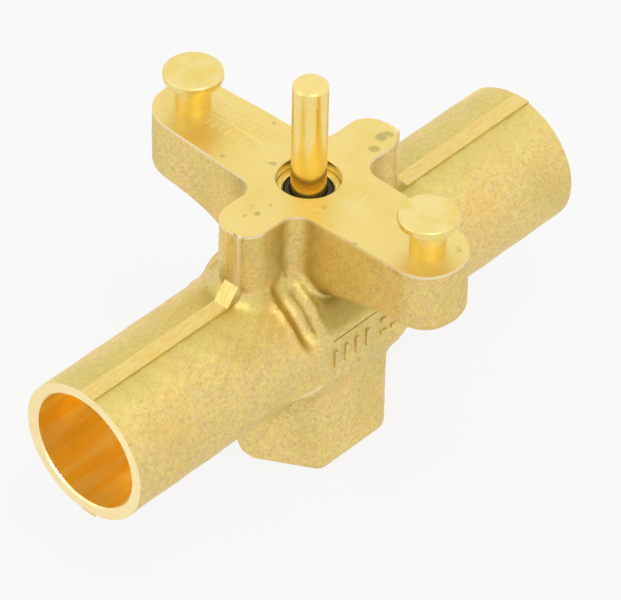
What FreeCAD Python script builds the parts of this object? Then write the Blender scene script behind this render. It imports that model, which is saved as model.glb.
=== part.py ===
"""Two-way refrigerant valve with a forged brass body and a push stem.

Frame: millimetres, +Z up along the stem, +X along the pipe axis.  The origin is
the centre of the foot's bottom face.  Each sub-part has its own function and is
written to parts/NODE.step.
"""
import FreeCAD, Part
import math
import os

from FreeCAD import Vector

# ---------------------------------------------------------------- forged body
PIPE_AXIS_Z = 28.8          # height of the pipe axis over the foot's bottom
STUB_END_X = 55.4           # pipe mouth, from the stem axis
STUB_R = 13.45              # outside of the pipe stubs
SOCKET_R = 11.175           # bore of the pipe sockets
SOCKET_DEPTH = 19.0
PORT_R = 9.4                # bore between the socket stop and the chamber
MOUTH_CHAMFER = 0.6         # inner edge of the mouths
MOUTH_EDGE = 0.3            # outer edge of the mouths
SHOULDER_X = 15.6           # where the stubs begin to fall into the grooves
SHOULDER_ROUND = 2.0
GROOVE_ROUND = 3.0          # groove between a stub and the chamber drum
DRUM_R = 15.5               # drum round the chamber, on the pipe axis
DRUM_HALF_X = 7.6           # where the drum begins to round off into the grooves
DRUM_ROUND = 3.5

PAD_Y = 14.6                # flats and pads on both sides of the drum
PAD_HALF_H = 5.0
PAD_HALF_X = 14.0
PAD_RAMP = 6.0              # length over which a pad runs out on the stub
PAD_RAMP_DROP = 2.3
PAD_EDGE_ROUND = 0.35       # lower edges of the pads
PAD_TOP_ROUND = 3.0         # upper edges of the pads

FOOT_FLAT_Y = 12.45         # half width across the flats that face Y
FOOT_FLAT_60 = 13.5         # half width across the slanted flats
FOOT_TRIM_X = 14.8          # trimmed flash on the foot's two end corners
FOOT_CORNER_ROUND = 1.3
FOOT_EDGE_ROUND = 2.0

FLASH_HALF_W = 1.65         # trimmed flash line round the parting plane
FLASH_Y = -0.5              # middle of the flash line
FLASH_PROUD = 0.12
FLASH_LOBE_X = 20.35
FLASH_WEB_DROP = 11.0       # how far below the flange the web starts to slant
FLASH_WEB_REACH = 4.2
FLASH_BURY = 0.5            # how deep the flash line stands in the stub's wall

# ---------------------------------------------------------------- cross flange
FLANGE_RISE = 27.77         # flange top over the pipe axis
PIN_Y = 27.6                # actuator pins, from the stem axis
ARM_ROOT_HALF = 8.4         # half width of an arm at the corner with the lobe
ARM_TIP_HALF = 7.0          # half width at the tip
ARM_TIP_FLAT = 0.05         # the tip's round is this much less than its half width
LOBE_HALF = 4.8
LOBE_END_X = 20.2
LOBE_ROUND = 4.5
CORNER_ROUND = 3.3          # concave corner between arm and lobe
ARM_DEPTH = 13.2            # thickness of an arm
ARM_UNDER_ROUND = 2.2       # round of the arm's lower edges
GUSSET_DEPTH = 15.8         # thickness of an arm at its root
GUSSET_Y = 13.2             # where the gusset starts to rise
GUSSET_END_Y = 20.5
GUSSET_ROUND = 1.5
NECK_HALF_Y = 10.0          # half width of the neck along Y
NECK_CORNER_ROUND = 1.6
LOBE_FLARE_DROP = 11.4      # below the flange top, where the lobes start to widen
NECK_FLARE_END = 23.4       # below the flange top, where the flare ends in the stubs
NECK_FLARE_REACH = 2.4
NECK_FLARE_STEPS = 4        # sections of the lofted flare

# ---------------------------------------------------------------- stem and gland
STEM_R = 3.175
STEM_RISE = 20.8            # stem's tip over the flange top
STEM_TIP_CHAMFER = 0.37
STEM_DOME = 0.25
GUIDE_CLEAR = 0.04          # running fit of the stem in its guide bush
SEAL_CLEAR = 0.07           # seals and stem
SPACER_CLEAR = 0.15         # seal spacer and stem
GLAND_R = 5.67              # gland bore in the flange
GLAND_FIT = 0.03            # pieces that sit in the gland bore
GLAND_STEP = 2.2            # retainer's top below the flange top
RETAINER_T = 1.25
RETAINER_HOLE_R = 4.45
RETAINER_CHAMFER = 0.3
WIPER_T = 1.5
WIPER_LIP = 0.9             # height of the lip inside the retainer's hole
WIPER_LIP_GAP = 0.1         # lip and retainer
RING_WIRE_R = 1.14          # section radius of the stem O-rings
SPACER_T = 1.5
GUIDE_T = 3.0
STEM_HOLE_R = 3.5           # hole from the gland to the chamber

# ---------------------------------------------------------------- seat, chambers and galleries
SEAT_TOP_DROP = 1.0         # top of the seat's bridge, below the pipe axis
SEAT_BRIDGE_T = 3.5
SEAT_R = 6.3                # orifice
SEAT_BEAD_H = 0.6
SEAT_BEAD_W = 0.8
UPPER_CHAMBER_R = 8.4
UPPER_CHAMBER_RISE = 9.4    # chamber's ceiling over the pipe axis
LOWER_CHAMBER_R = 9.0
PORT_STOP_X = 12.3          # the ports run this near the stem axis
UPPER_GALLERY_R = 8.4
LOWER_GALLERY_R = 6.2
LOWER_GALLERY_X = 18.3      # where the slanted gallery leaves the port's axis
LOWER_GALLERY_DROP = 11.5   # its fall from there to the stem axis

# ---------------------------------------------------------------- disc
STROKE = 4.5                # travel of the stem
DISC_R = 7.5
DISC_T = 2.0
CARRIER_R = 8.1
CARRIER_FLOOR = 1.8
CARRIER_LIP = 1.6           # how much of the disc's thickness the cup holds
WASHER_R = 4.6
WASHER_T = 1.0
TENON_R = 2.0
TENON_CLEAR = 0.05
NUT_FLAT = 3.5              # half width across the nut's flats
NUT_H = 3.0
NUT_BEVEL = 0.6
LOCKWASHER_T = 0.8
LOCKWASHER_R = 3.6
LOCKWASHER_SLIT = 0.7
TENON_PROUD = 0.5           # tenon past the nut

# ---------------------------------------------------------------- spring and plug
PLUG_RECESS = 0.8
PLUG_THREAD_R = 10.0
PLUG_THREAD_H = 4.4
PLUG_PILOT_H = 2.9
PLUG_FIT = 0.05
PLUG_BOSS_R = 4.5           # boss that centres the spring and ends the stroke
PLUG_SLOT_W = 2.0
PLUG_SLOT_D = 2.2
PLUG_GROOVE_D = 1.5
PLUG_GROOVE_W = 1.75
PLUG_RING_WIRE_R = 0.78
STOP_GAP = 0.1              # tenon over the boss at full stroke
SPRING_R = 5.9
SPRING_WIRE_R = 0.55
SPRING_WIRE_SIDES = 8
SPRING_TURNS = 4.5
SPRING_SEAT_CLEAR = 0.02

# ---------------------------------------------------------------- actuator pins
PIN_HEAD_R = 5.4
PIN_HEAD_T = 1.7
PIN_HEAD_CHAMFER = 0.4
PIN_HEAD_RISE = 8.0         # top of the head over the flange
PIN_SHANK_R = 3.2
PIN_HEAD_BEVEL = 0.35       # lower edge of the head
PIN_TAIL_R = 2.6
PIN_TAIL_L = 7.5
PIN_DIMPLE_R = 0.7
PIN_DIMPLE_D = 0.35

CUT_OVER = 1.0              # how far a cutter reaches past the surface it opens
TINY = 1e-6                 # lengths under this count as none

# ---------------------------------------------------------------- levels and places worked out
FLANGE_TOP_Z = PIPE_AXIS_Z + FLANGE_RISE
STEM_TOP_Z = FLANGE_TOP_Z + STEM_RISE
ARM_TIP_Y = PIN_Y + ARM_TIP_HALF

GLAND_PIECE_R = GLAND_R - GLAND_FIT
RETAINER_TOP_Z = FLANGE_TOP_Z - GLAND_STEP
WIPER_LOW_Z = RETAINER_TOP_Z - RETAINER_T - WIPER_T
UPPER_RING_Z = WIPER_LOW_Z - RING_WIRE_R
SPACER_LOW_Z = UPPER_RING_Z - RING_WIRE_R - SPACER_T
LOWER_RING_Z = SPACER_LOW_Z - RING_WIRE_R
GLAND_FLOOR_Z = LOWER_RING_Z - RING_WIRE_R - GUIDE_T

SEAT_TOP_Z = PIPE_AXIS_Z - SEAT_TOP_DROP
SEAT_UNDER_Z = SEAT_TOP_Z - SEAT_BRIDGE_T
UPPER_CHAMBER_TOP_Z = PIPE_AXIS_Z + UPPER_CHAMBER_RISE
DISC_TOP_Z = SEAT_UNDER_Z - SEAT_BEAD_H
CARRIER_LOW_Z = DISC_TOP_Z - DISC_T - CARRIER_FLOOR
NUT_LOW_Z = CARRIER_LOW_Z - LOCKWASHER_T - NUT_H
TENON_END_Z = NUT_LOW_Z - TENON_PROUD

PLUG_THREAD_TOP_Z = PLUG_RECESS + PLUG_THREAD_H
PLUG_TOP_Z = PLUG_THREAD_TOP_Z + PLUG_PILOT_H
PLUG_BOSS_TOP_Z = TENON_END_Z - STROKE - STOP_GAP
PLUG_PILOT_R = LOWER_CHAMBER_R - PLUG_FIT

ORIGIN = Vector(0, 0, 0)
UP = Vector(0, 0, 1)
ALONG = Vector(1, 0, 0)
ACROSS = Vector(0, 1, 0)


def cylinder_z(radius, low, high):
    """Cylinder about the stem axis."""
    return Part.makeCylinder(radius, high - low, Vector(0, 0, low), UP)


def cylinder_x(radius, start, end):
    """Cylinder about the pipe axis."""
    return Part.makeCylinder(radius, end - start, Vector(start, 0, PIPE_AXIS_Z), ALONG)


def ring_z(inner, outer, low, high):
    """Plain ring about the stem axis."""
    return cylinder_z(outer, low, high).cut(cylinder_z(inner, low - CUT_OVER, high + CUT_OVER))


def rounded_wire(corners):
    """Closed wire through (point, radius) corners, each corner rounded by its radius."""
    count = len(corners)
    cuts = []
    for i, (point, radius) in enumerate(corners):
        to_last = (corners[i - 1][0] - point).normalize()
        to_next = (corners[(i + 1) % count][0] - point).normalize()
        if radius <= 0:
            cuts.append((point, point, point))
            continue
        half = to_last.getAngle(to_next) / 2
        back = radius / math.tan(half)
        bisector = (to_last + to_next).normalize()
        middle = point + bisector * (radius / math.sin(half) - radius)
        cuts.append((point + to_last * back, middle, point + to_next * back))
    edges = []
    for i, (start, middle, end) in enumerate(cuts):
        if start.distanceToPoint(end) > TINY:
            edges.append(Part.Arc(start, middle, end).toShape())
        following = cuts[(i + 1) % count][0]
        if end.distanceToPoint(following) > TINY:
            edges.append(Part.makeLine(end, following))
    return Part.Wire(edges)


def extruded(corners, direction):
    """Solid swept along a direction from a rounded outline."""
    return Part.Face(rounded_wire(corners)).extrude(direction)


def turned(outline):
    """Solid of revolution about the stem axis from (radius, z) corners."""
    points = [Vector(r, 0, z) for r, z in outline]
    return Part.Face(Part.makePolygon(points + points[:1])).revolve(ORIGIN, UP, 360)


def four_quarters(quarter, z):
    """Corners of a closed plan, symmetric about X and Y, from those of one quarter."""
    corners = []
    for side_x, side_y in ((1, 1), (-1, 1), (-1, -1), (1, -1)):
        part = [(Vector(side_x * x, side_y * y, z), r) for x, y, r in quarter]
        corners += part if side_x == side_y else part[::-1]
    return corners


def mirrored(shape, normal):
    """The shape and its mirror image about a plane through the origin, fused."""
    return shape.fuse(shape.mirror(ORIGIN, normal))


# ---------------------------------------------------------------- valve body
def barrel_point(x, radius):
    """Point on the lower side of the barrel's outline."""
    return Vector(x, 0, PIPE_AXIS_Z - radius)


def arc_middle(centre, start, end):
    """Middle of the shorter arc about this centre from start to end."""
    chord = start - centre + end - centre
    return centre + chord.normalize() * centre.distanceToPoint(start)


def groove_profile():
    """Three tangent arcs from a stub through its groove up onto the drum, as (x, radius) points."""
    stub = Vector(SHOULDER_X, STUB_R - SHOULDER_ROUND, 0)
    drum = Vector(DRUM_HALF_X, DRUM_R - DRUM_ROUND, 0)
    reach_stub = SHOULDER_ROUND + GROOVE_ROUND
    reach_drum = DRUM_ROUND + GROOVE_ROUND
    between = stub - drum
    along = (reach_drum ** 2 - reach_stub ** 2 + between.Length ** 2) / (2 * between.Length)
    outward = Vector(-between.y, between.x, 0).normalize()
    groove = drum + between.normalize() * along + outward * math.sqrt(reach_drum ** 2 - along ** 2)
    stub_edge = Vector(SHOULDER_X, STUB_R, 0)
    drum_edge = Vector(DRUM_HALF_X, DRUM_R, 0)
    stub_meet = stub + (groove - stub) * (SHOULDER_ROUND / reach_stub)
    drum_meet = drum + (groove - drum) * (DRUM_ROUND / reach_drum)
    return (stub_edge, arc_middle(stub, stub_edge, stub_meet), stub_meet,
            arc_middle(groove, stub_meet, drum_meet), drum_meet,
            arc_middle(drum, drum_meet, drum_edge), drum_edge)


def barrel():
    """Pipe stubs with rounded ends, the drum between them and a groove on each side of it."""
    edges = []
    drum_edges = []
    for side in (-1, 1):
        points = [barrel_point(side * point.x, point.y) for point in groove_profile()]
        axis_end = barrel_point(side * STUB_END_X, 0)
        face_edge = barrel_point(side * STUB_END_X, STUB_R - MOUTH_EDGE)
        wall_edge = barrel_point(side * (STUB_END_X - MOUTH_EDGE), STUB_R)
        edges += Part.makePolygon([axis_end, face_edge, wall_edge, points[0]]).Edges
        edges += [Part.Arc(*points[i:i + 3]).toShape() for i in (0, 2, 4)]
        drum_edges.append(points[-1])
    edges.append(Part.makeLine(*drum_edges))
    edges.append(Part.makeLine(barrel_point(STUB_END_X, 0), barrel_point(-STUB_END_X, 0)))
    outline = Part.Wire(Part.sortEdges(edges)[0])
    turned_barrel = Part.Face(outline).revolve(barrel_point(0, 0), ALONG, 360)
    flats = Part.makeBox(2 * STUB_END_X, 2 * PAD_Y, 2 * DRUM_R,
                         Vector(-STUB_END_X, -PAD_Y, PIPE_AXIS_Z - DRUM_R))
    return turned_barrel.common(flats)


def pads():
    """Flat pads on both sides, run out over the stubs."""
    low = PIPE_AXIS_Z - PAD_HALF_H
    end_x = PAD_HALF_X + PAD_RAMP
    end_y = PAD_Y - PAD_RAMP_DROP
    plan = four_quarters([(end_x, end_y, 0), (PAD_HALF_X, PAD_Y, 0)], low)
    block = extruded(plan, UP * (2 * PAD_HALF_H))
    rims = [edge for edge in block.Edges
            if edge.BoundBox.XLength > PAD_HALF_X and edge.BoundBox.YLength < TINY]
    upper = [edge for edge in rims if edge.BoundBox.ZMin > PIPE_AXIS_Z]
    lower = [edge for edge in rims if edge.BoundBox.ZMax < PIPE_AXIS_Z]
    return block.makeFillet(PAD_TOP_ROUND, upper).common(block.makeFillet(PAD_EDGE_ROUND, lower))


def foot():
    """Hexagonal foot, longer along the pipe, with rounded edges and two trimmed corners."""
    tip_x = FOOT_FLAT_60 / math.cos(math.radians(30))
    side_x = tip_x - FOOT_FLAT_Y * math.tan(math.radians(30))
    tip = (Vector(tip_x, 0, 0), FOOT_CORNER_ROUND)
    far_tip = (Vector(-tip_x, 0, 0), FOOT_CORNER_ROUND)
    sides = four_quarters([(side_x, FOOT_FLAT_Y, FOOT_CORNER_ROUND)], 0)
    block = extruded([tip] + sides[:2] + [far_tip] + sides[2:], UP * PIPE_AXIS_Z)
    bottom = [edge for edge in block.Edges if edge.BoundBox.ZMax < TINY]
    rounded = block.makeFillet(FOOT_EDGE_ROUND, bottom)
    slab = Part.makeBox(2 * FOOT_TRIM_X, 4 * FOOT_FLAT_Y, PIPE_AXIS_Z,
                        Vector(-FOOT_TRIM_X, -2 * FOOT_FLAT_Y, 0))
    return rounded.common(slab)


def arm_half(y):
    """Half width of an arm at this distance from the stem axis."""
    taper = (ARM_ROOT_HALF - ARM_TIP_HALF) / (ARM_TIP_Y - LOBE_HALF)
    return ARM_ROOT_HALF - taper * (y - LOBE_HALF)


def neck_corners(grow, z):
    """Plan of the neck: two lobes along X, grown outwards, and a block along Y."""
    return four_quarters([
        (LOBE_END_X + grow, LOBE_HALF + grow, LOBE_ROUND + grow),
        (ARM_ROOT_HALF, LOBE_HALF + grow, CORNER_ROUND - grow),
        (arm_half(NECK_HALF_Y), NECK_HALF_Y, NECK_CORNER_ROUND),
    ], z)


def neck():
    """Neck between the barrel and the flange; its lobes flare out onto the stubs."""
    start = FLANGE_TOP_Z - LOBE_FLARE_DROP
    end = FLANGE_TOP_Z - NECK_FLARE_END
    sections = []
    for step in range(NECK_FLARE_STEPS + 1):
        turn = math.radians(90) * step / NECK_FLARE_STEPS
        z = start - (start - end) * math.sin(turn)
        grow = NECK_FLARE_REACH * (1 - math.cos(turn))
        sections.append(rounded_wire(neck_corners(grow, z)))
    shaft = extruded(neck_corners(0, end), UP * (FLANGE_TOP_Z - end))
    return Part.makeLoft(sections, True, True).fuse(shaft)


def arm():
    """One tapered arm along +Y, with rounded lower edges."""
    low = FLANGE_TOP_Z - ARM_DEPTH
    tip_round = ARM_TIP_HALF - ARM_TIP_FLAT
    plan = [(Vector(-ARM_ROOT_HALF, LOBE_HALF, low), 0), (Vector(ARM_ROOT_HALF, LOBE_HALF, low), 0),
            (Vector(ARM_TIP_HALF, ARM_TIP_Y, low), tip_round),
            (Vector(-ARM_TIP_HALF, ARM_TIP_Y, low), tip_round)]
    block = extruded(plan, UP * ARM_DEPTH)
    rim = [edge for edge in block.Edges
           if edge.BoundBox.ZMax < low + TINY and edge.BoundBox.YMax > LOBE_HALF + TINY]
    return block.makeFillet(ARM_UNDER_ROUND, rim)


def gusset():
    """Web under an arm that thickens it towards the neck."""
    low = FLANGE_TOP_Z - GUSSET_DEPTH
    arm_low = FLANGE_TOP_Z - ARM_DEPTH
    high = arm_low + 2 * ARM_UNDER_ROUND
    root = arm_half(0)
    end = arm_half(GUSSET_END_Y)
    plan = [(-root, 0), (root, 0), (end, GUSSET_END_Y), (-end, GUSSET_END_Y)]
    side = [(0, high), (0, low), (GUSSET_Y, low), (GUSSET_END_Y, arm_low), (GUSSET_END_Y, high)]
    column = extruded([(Vector(x, y, low), 0) for x, y in plan], UP * (high - low))
    slice_x = extruded([(Vector(-root, y, z), 0) for y, z in side], ALONG * (2 * root))
    block = column.common(slice_x)
    rim = [edge for edge in block.Edges
           if edge.BoundBox.ZMin < low + TINY and edge.BoundBox.YLength > TINY]
    return block.makeFillet(GUSSET_ROUND, rim)


def arms():
    """Both arms of the cross flange, each with its gusset."""
    return mirrored(arm().fuse(gusset()), ACROSS)


def flash_lines():
    """Trimmed flash along the parting plane, on the stubs and up the lobes."""
    width = 2 * FLASH_HALF_W
    side_y = FLASH_Y - FLASH_HALF_W
    inner_r = SOCKET_R + FLASH_BURY
    stub = Part.makeBox(STUB_END_X - SHOULDER_X - MOUTH_EDGE, width, STUB_R + FLASH_PROUD - inner_r,
                        Vector(SHOULDER_X, side_y, PIPE_AXIS_Z + inner_r))
    under = stub.mirror(Vector(0, 0, PIPE_AXIS_Z), UP)
    web_low = PIPE_AXIS_Z + inner_r
    web_side = [(SHOULDER_X, FLANGE_TOP_Z), (FLASH_LOBE_X, FLANGE_TOP_Z),
                (FLASH_LOBE_X, FLANGE_TOP_Z - FLASH_WEB_DROP),
                (FLASH_LOBE_X + FLASH_WEB_REACH, web_low), (SHOULDER_X, web_low)]
    web = extruded([(Vector(x, side_y, z), 0) for x, z in web_side], ACROSS * width)
    return mirrored(stub.fuse([under, web]), ALONG)


def port_cutter():
    """Socket with its stop shoulder, chamfered mouth and port, at the +X end."""
    stop_x = STUB_END_X - SOCKET_DEPTH
    socket = cylinder_x(SOCKET_R, stop_x, STUB_END_X + CUT_OVER)
    port = cylinder_x(PORT_R, PORT_STOP_X, stop_x + CUT_OVER)
    length = MOUTH_CHAMFER + CUT_OVER
    mouth = Part.makeCone(SOCKET_R, SOCKET_R + length, length,
                          Vector(STUB_END_X - MOUTH_CHAMFER, 0, PIPE_AXIS_Z), ALONG)
    return socket.fuse([port, mouth])


def upper_gallery():
    """Half-round way from the left port into the chamber over the seat."""
    start = -PORT_STOP_X - CUT_OVER
    over_seat = Part.makeBox(-start, 2 * UPPER_GALLERY_R, UPPER_GALLERY_R + SEAT_TOP_DROP,
                             Vector(start, -UPPER_GALLERY_R, SEAT_TOP_Z))
    return cylinder_x(UPPER_GALLERY_R, start, 0).common(over_seat)


def lower_gallery():
    """Slanted way from the right port down into the chamber under the seat."""
    start = Vector(LOWER_GALLERY_X, 0, PIPE_AXIS_Z)
    fall = Vector(-LOWER_GALLERY_X, 0, -LOWER_GALLERY_DROP)
    slanted = Part.makeCylinder(LOWER_GALLERY_R, fall.Length, start, fall)
    bridge = cylinder_z(LOWER_CHAMBER_R, SEAT_UNDER_Z, UPPER_CHAMBER_TOP_Z)
    return slanted.cut(bridge)


def chambers():
    """Chambers over and under the seat, its orifice with a raised bead, and the plug's thread."""
    upper = cylinder_z(UPPER_CHAMBER_R, SEAT_TOP_Z, UPPER_CHAMBER_TOP_Z)
    lower = cylinder_z(LOWER_CHAMBER_R, -CUT_OVER, SEAT_UNDER_Z)
    thread = cylinder_z(PLUG_THREAD_R, -CUT_OVER, PLUG_THREAD_TOP_Z)
    bead = ring_z(SEAT_R, SEAT_R + SEAT_BEAD_W, DISC_TOP_Z, SEAT_UNDER_Z + CUT_OVER)
    orifice = cylinder_z(SEAT_R, SEAT_UNDER_Z - CUT_OVER, SEAT_TOP_Z + CUT_OVER)
    return lower.fuse([thread, lower_gallery()]).cut(bead).fuse([upper, orifice, upper_gallery()])


def gland_bore():
    """Gland bore from the flange top and the stem hole under it."""
    gland = cylinder_z(GLAND_R, GLAND_FLOOR_Z, FLANGE_TOP_Z + CUT_OVER)
    hole = cylinder_z(STEM_HOLE_R, UPPER_CHAMBER_TOP_Z - CUT_OVER, GLAND_FLOOR_Z + CUT_OVER)
    return gland.fuse(hole)


def pin_holes():
    """Blind holes for the tails of the actuator pins."""
    hole = Part.makeCylinder(PIN_TAIL_R, PIN_TAIL_L + CUT_OVER,
                             Vector(0, PIN_Y, FLANGE_TOP_Z - PIN_TAIL_L), UP)
    return mirrored(hole, ACROSS)


def valve_body():
    """One-piece forging with its machined bores."""
    forging = barrel().fuse([pads(), foot(), neck(), arms(), flash_lines()])
    ports = mirrored(port_cutter(), ALONG)
    machined = forging.cut(chambers().fuse(ports)).cut(gland_bore()).cut(pin_holes())
    return machined.removeSplitter()


# ---------------------------------------------------------------- gland pieces, from the top
def seal_retainer():
    """Ring that holds the gland pieces down, chamfered round its hole."""
    low = RETAINER_TOP_Z - RETAINER_T
    return turned([(RETAINER_HOLE_R, low), (GLAND_PIECE_R, low), (GLAND_PIECE_R, RETAINER_TOP_Z),
                   (RETAINER_HOLE_R + RETAINER_CHAMFER, RETAINER_TOP_Z),
                   (RETAINER_HOLE_R, RETAINER_TOP_Z - RETAINER_CHAMFER)])


def wiper_seal():
    """Rubber wiper with a lip that stands up inside the retainer's hole."""
    inner = STEM_R + SEAL_CLEAR
    lip_r = RETAINER_HOLE_R - WIPER_LIP_GAP
    top = WIPER_LOW_Z + WIPER_T
    return turned([(inner, WIPER_LOW_Z), (GLAND_PIECE_R, WIPER_LOW_Z), (GLAND_PIECE_R, top),
                   (lip_r, top), (lip_r, top + WIPER_LIP), (inner, top + WIPER_LIP)])


def stem_o_ring(z):
    """O-ring squeezed flat where it meets the stem and the gland bore."""
    inner = STEM_R + SEAL_CLEAR
    torus = Part.makeTorus((inner + GLAND_PIECE_R) / 2, RING_WIRE_R, Vector(0, 0, z), UP)
    return torus.common(ring_z(inner, GLAND_PIECE_R, z - RING_WIRE_R, z + RING_WIRE_R))


def seal_spacer():
    """Plain ring between the two O-rings."""
    return ring_z(STEM_R + SPACER_CLEAR, GLAND_PIECE_R, SPACER_LOW_Z, SPACER_LOW_Z + SPACER_T)


def guide_bush():
    """Bush at the bottom of the gland that guides the stem."""
    return ring_z(STEM_R + GUIDE_CLEAR, GLAND_PIECE_R, GLAND_FLOOR_Z, GLAND_FLOOR_Z + GUIDE_T)


# ---------------------------------------------------------------- stem and disc
def stem():
    """Round push stem with a chamfered, slightly domed tip and a threaded tenon."""
    shoulder_z = DISC_TOP_Z + WASHER_T
    tip_r = STEM_R - STEM_TIP_CHAMFER
    edge_z = STEM_TOP_Z - STEM_DOME
    outline = [(0, TENON_END_Z), (TENON_R, TENON_END_Z), (TENON_R, shoulder_z), (STEM_R, shoulder_z),
               (STEM_R, edge_z - STEM_TIP_CHAMFER), (tip_r, edge_z)]
    points = [Vector(r, 0, z) for r, z in outline]
    top = Vector(0, 0, STEM_TOP_Z)
    dome_r = (tip_r ** 2 + STEM_DOME ** 2) / (2 * STEM_DOME)
    dome_mid = Vector(tip_r / 2, 0, STEM_TOP_Z - dome_r + math.sqrt(dome_r ** 2 - (tip_r / 2) ** 2))
    edges = Part.makePolygon(points).Edges
    edges.append(Part.Arc(points[-1], dome_mid, top).toShape())
    edges.append(Part.makeLine(top, points[0]))
    return Part.Face(Part.Wire(edges)).revolve(ORIGIN, UP, 360)


def disc_washer():
    """Washer between the stem's shoulder and the rubber disc."""
    return ring_z(TENON_R + TENON_CLEAR, WASHER_R, DISC_TOP_Z, DISC_TOP_Z + WASHER_T)


def seat_disc():
    """Rubber disc that closes the orifice from below."""
    return ring_z(TENON_R + TENON_CLEAR, DISC_R, DISC_TOP_Z - DISC_T, DISC_TOP_Z)


def disc_carrier():
    """Brass cup that carries the disc."""
    hole_r = TENON_R + TENON_CLEAR
    floor_z = CARRIER_LOW_Z + CARRIER_FLOOR
    rim_z = floor_z + CARRIER_LIP
    return turned([(hole_r, CARRIER_LOW_Z), (CARRIER_R, CARRIER_LOW_Z), (CARRIER_R, rim_z),
                   (DISC_R, rim_z), (DISC_R, floor_z), (hole_r, floor_z)])


def lock_washer():
    """Split spring washer under the disc nut."""
    low = CARRIER_LOW_Z - LOCKWASHER_T
    ring = ring_z(TENON_R + TENON_CLEAR, LOCKWASHER_R, low, CARRIER_LOW_Z)
    slit = Part.makeBox(LOCKWASHER_R + CUT_OVER, LOCKWASHER_SLIT, LOCKWASHER_T + 2 * CUT_OVER,
                        Vector(0, -LOCKWASHER_SLIT / 2, low - CUT_OVER))
    return ring.cut(slit)


def disc_nut():
    """Hexagon nut on the tenon, bevelled below."""
    corner = NUT_FLAT / math.cos(math.radians(30))
    plan = []
    for step in range(6):
        turn = math.radians(60 * step)
        plan.append((Vector(corner * math.cos(turn), corner * math.sin(turn), NUT_LOW_Z), 0))
    nut = extruded(plan, UP * NUT_H)
    bevel = Part.makeCone(corner - NUT_BEVEL, corner - NUT_BEVEL + NUT_H, NUT_H, Vector(0, 0, NUT_LOW_Z), UP)
    return nut.common(bevel).cut(cylinder_z(TENON_R, NUT_LOW_Z - CUT_OVER, NUT_LOW_Z + NUT_H + CUT_OVER))


# ---------------------------------------------------------------- spring and plug
def return_spring():
    """Helical spring of eight-sided wire between the plug and the disc carrier."""
    low = PLUG_TOP_Z + SPRING_SEAT_CLEAR + SPRING_WIRE_R
    high = CARRIER_LOW_Z - SPRING_SEAT_CLEAR - SPRING_WIRE_R
    pitch = (high - low) / SPRING_TURNS
    helix = Part.makeHelix(pitch, high - low, SPRING_R)
    helix.translate(Vector(0, 0, low))
    start = Vector(SPRING_R, 0, low)
    heading = Vector(0, 1, pitch / (2 * math.pi * SPRING_R)).normalize()
    upwards = heading.cross(ALONG) * -1
    corners = []
    for side in range(SPRING_WIRE_SIDES):
        turn = math.radians(360) * (side + 0.5) / SPRING_WIRE_SIDES
        corners.append(start + (ALONG * math.cos(turn) + upwards * math.sin(turn)) * SPRING_WIRE_R)
    section = Part.makePolygon(corners + corners[:1])
    return Part.Wire(helix.Edges).makePipeShell([section], True, True)


def bottom_plug():
    """Threaded plug that closes the foot, with a slot below and a spring boss above."""
    thread = cylinder_z(PLUG_THREAD_R - PLUG_FIT, PLUG_RECESS, PLUG_THREAD_TOP_Z)
    pilot = cylinder_z(PLUG_PILOT_R, PLUG_THREAD_TOP_Z, PLUG_TOP_Z)
    boss = cylinder_z(PLUG_BOSS_R, PLUG_TOP_Z, PLUG_BOSS_TOP_Z)
    groove_low = PLUG_THREAD_TOP_Z + (PLUG_PILOT_H - PLUG_GROOVE_W) / 2
    groove = ring_z(PLUG_PILOT_R - PLUG_GROOVE_D, PLUG_THREAD_R + CUT_OVER,
                    groove_low, groove_low + PLUG_GROOVE_W)
    reach = PLUG_THREAD_R + CUT_OVER
    slot = Part.makeBox(2 * reach, PLUG_SLOT_W, PLUG_SLOT_D, Vector(-reach, -PLUG_SLOT_W / 2, PLUG_RECESS))
    return thread.fuse([pilot, boss]).cut(groove).cut(slot).removeSplitter()


def plug_o_ring():
    """O-ring in the plug's groove."""
    inner = PLUG_PILOT_R - PLUG_GROOVE_D
    z = PLUG_THREAD_TOP_Z + PLUG_PILOT_H / 2
    torus = Part.makeTorus((inner + LOWER_CHAMBER_R) / 2, PLUG_RING_WIRE_R, Vector(0, 0, z), UP)
    return torus.common(ring_z(inner, LOWER_CHAMBER_R, z - PLUG_RING_WIRE_R, z + PLUG_RING_WIRE_R))


# ---------------------------------------------------------------- actuator pins
def actuator_pin(side):
    """Headed pin pressed into an arm; the actuator's keyholes lock under its head."""
    top = FLANGE_TOP_Z + PIN_HEAD_RISE
    head_low = top - PIN_HEAD_T
    tail_low = FLANGE_TOP_Z - PIN_TAIL_L
    outline = [(0, tail_low), (PIN_TAIL_R, tail_low), (PIN_TAIL_R, FLANGE_TOP_Z),
               (PIN_SHANK_R, FLANGE_TOP_Z), (PIN_SHANK_R, head_low),
               (PIN_HEAD_R - PIN_HEAD_BEVEL, head_low), (PIN_HEAD_R, head_low + PIN_HEAD_BEVEL),
               (PIN_HEAD_R, top - PIN_HEAD_CHAMFER), (PIN_HEAD_R - PIN_HEAD_CHAMFER, top),
               (PIN_DIMPLE_R, top), (0, top - PIN_DIMPLE_D)]
    pin = turned(outline)
    pin.translate(Vector(0, side * PIN_Y, 0))
    return pin


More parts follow.
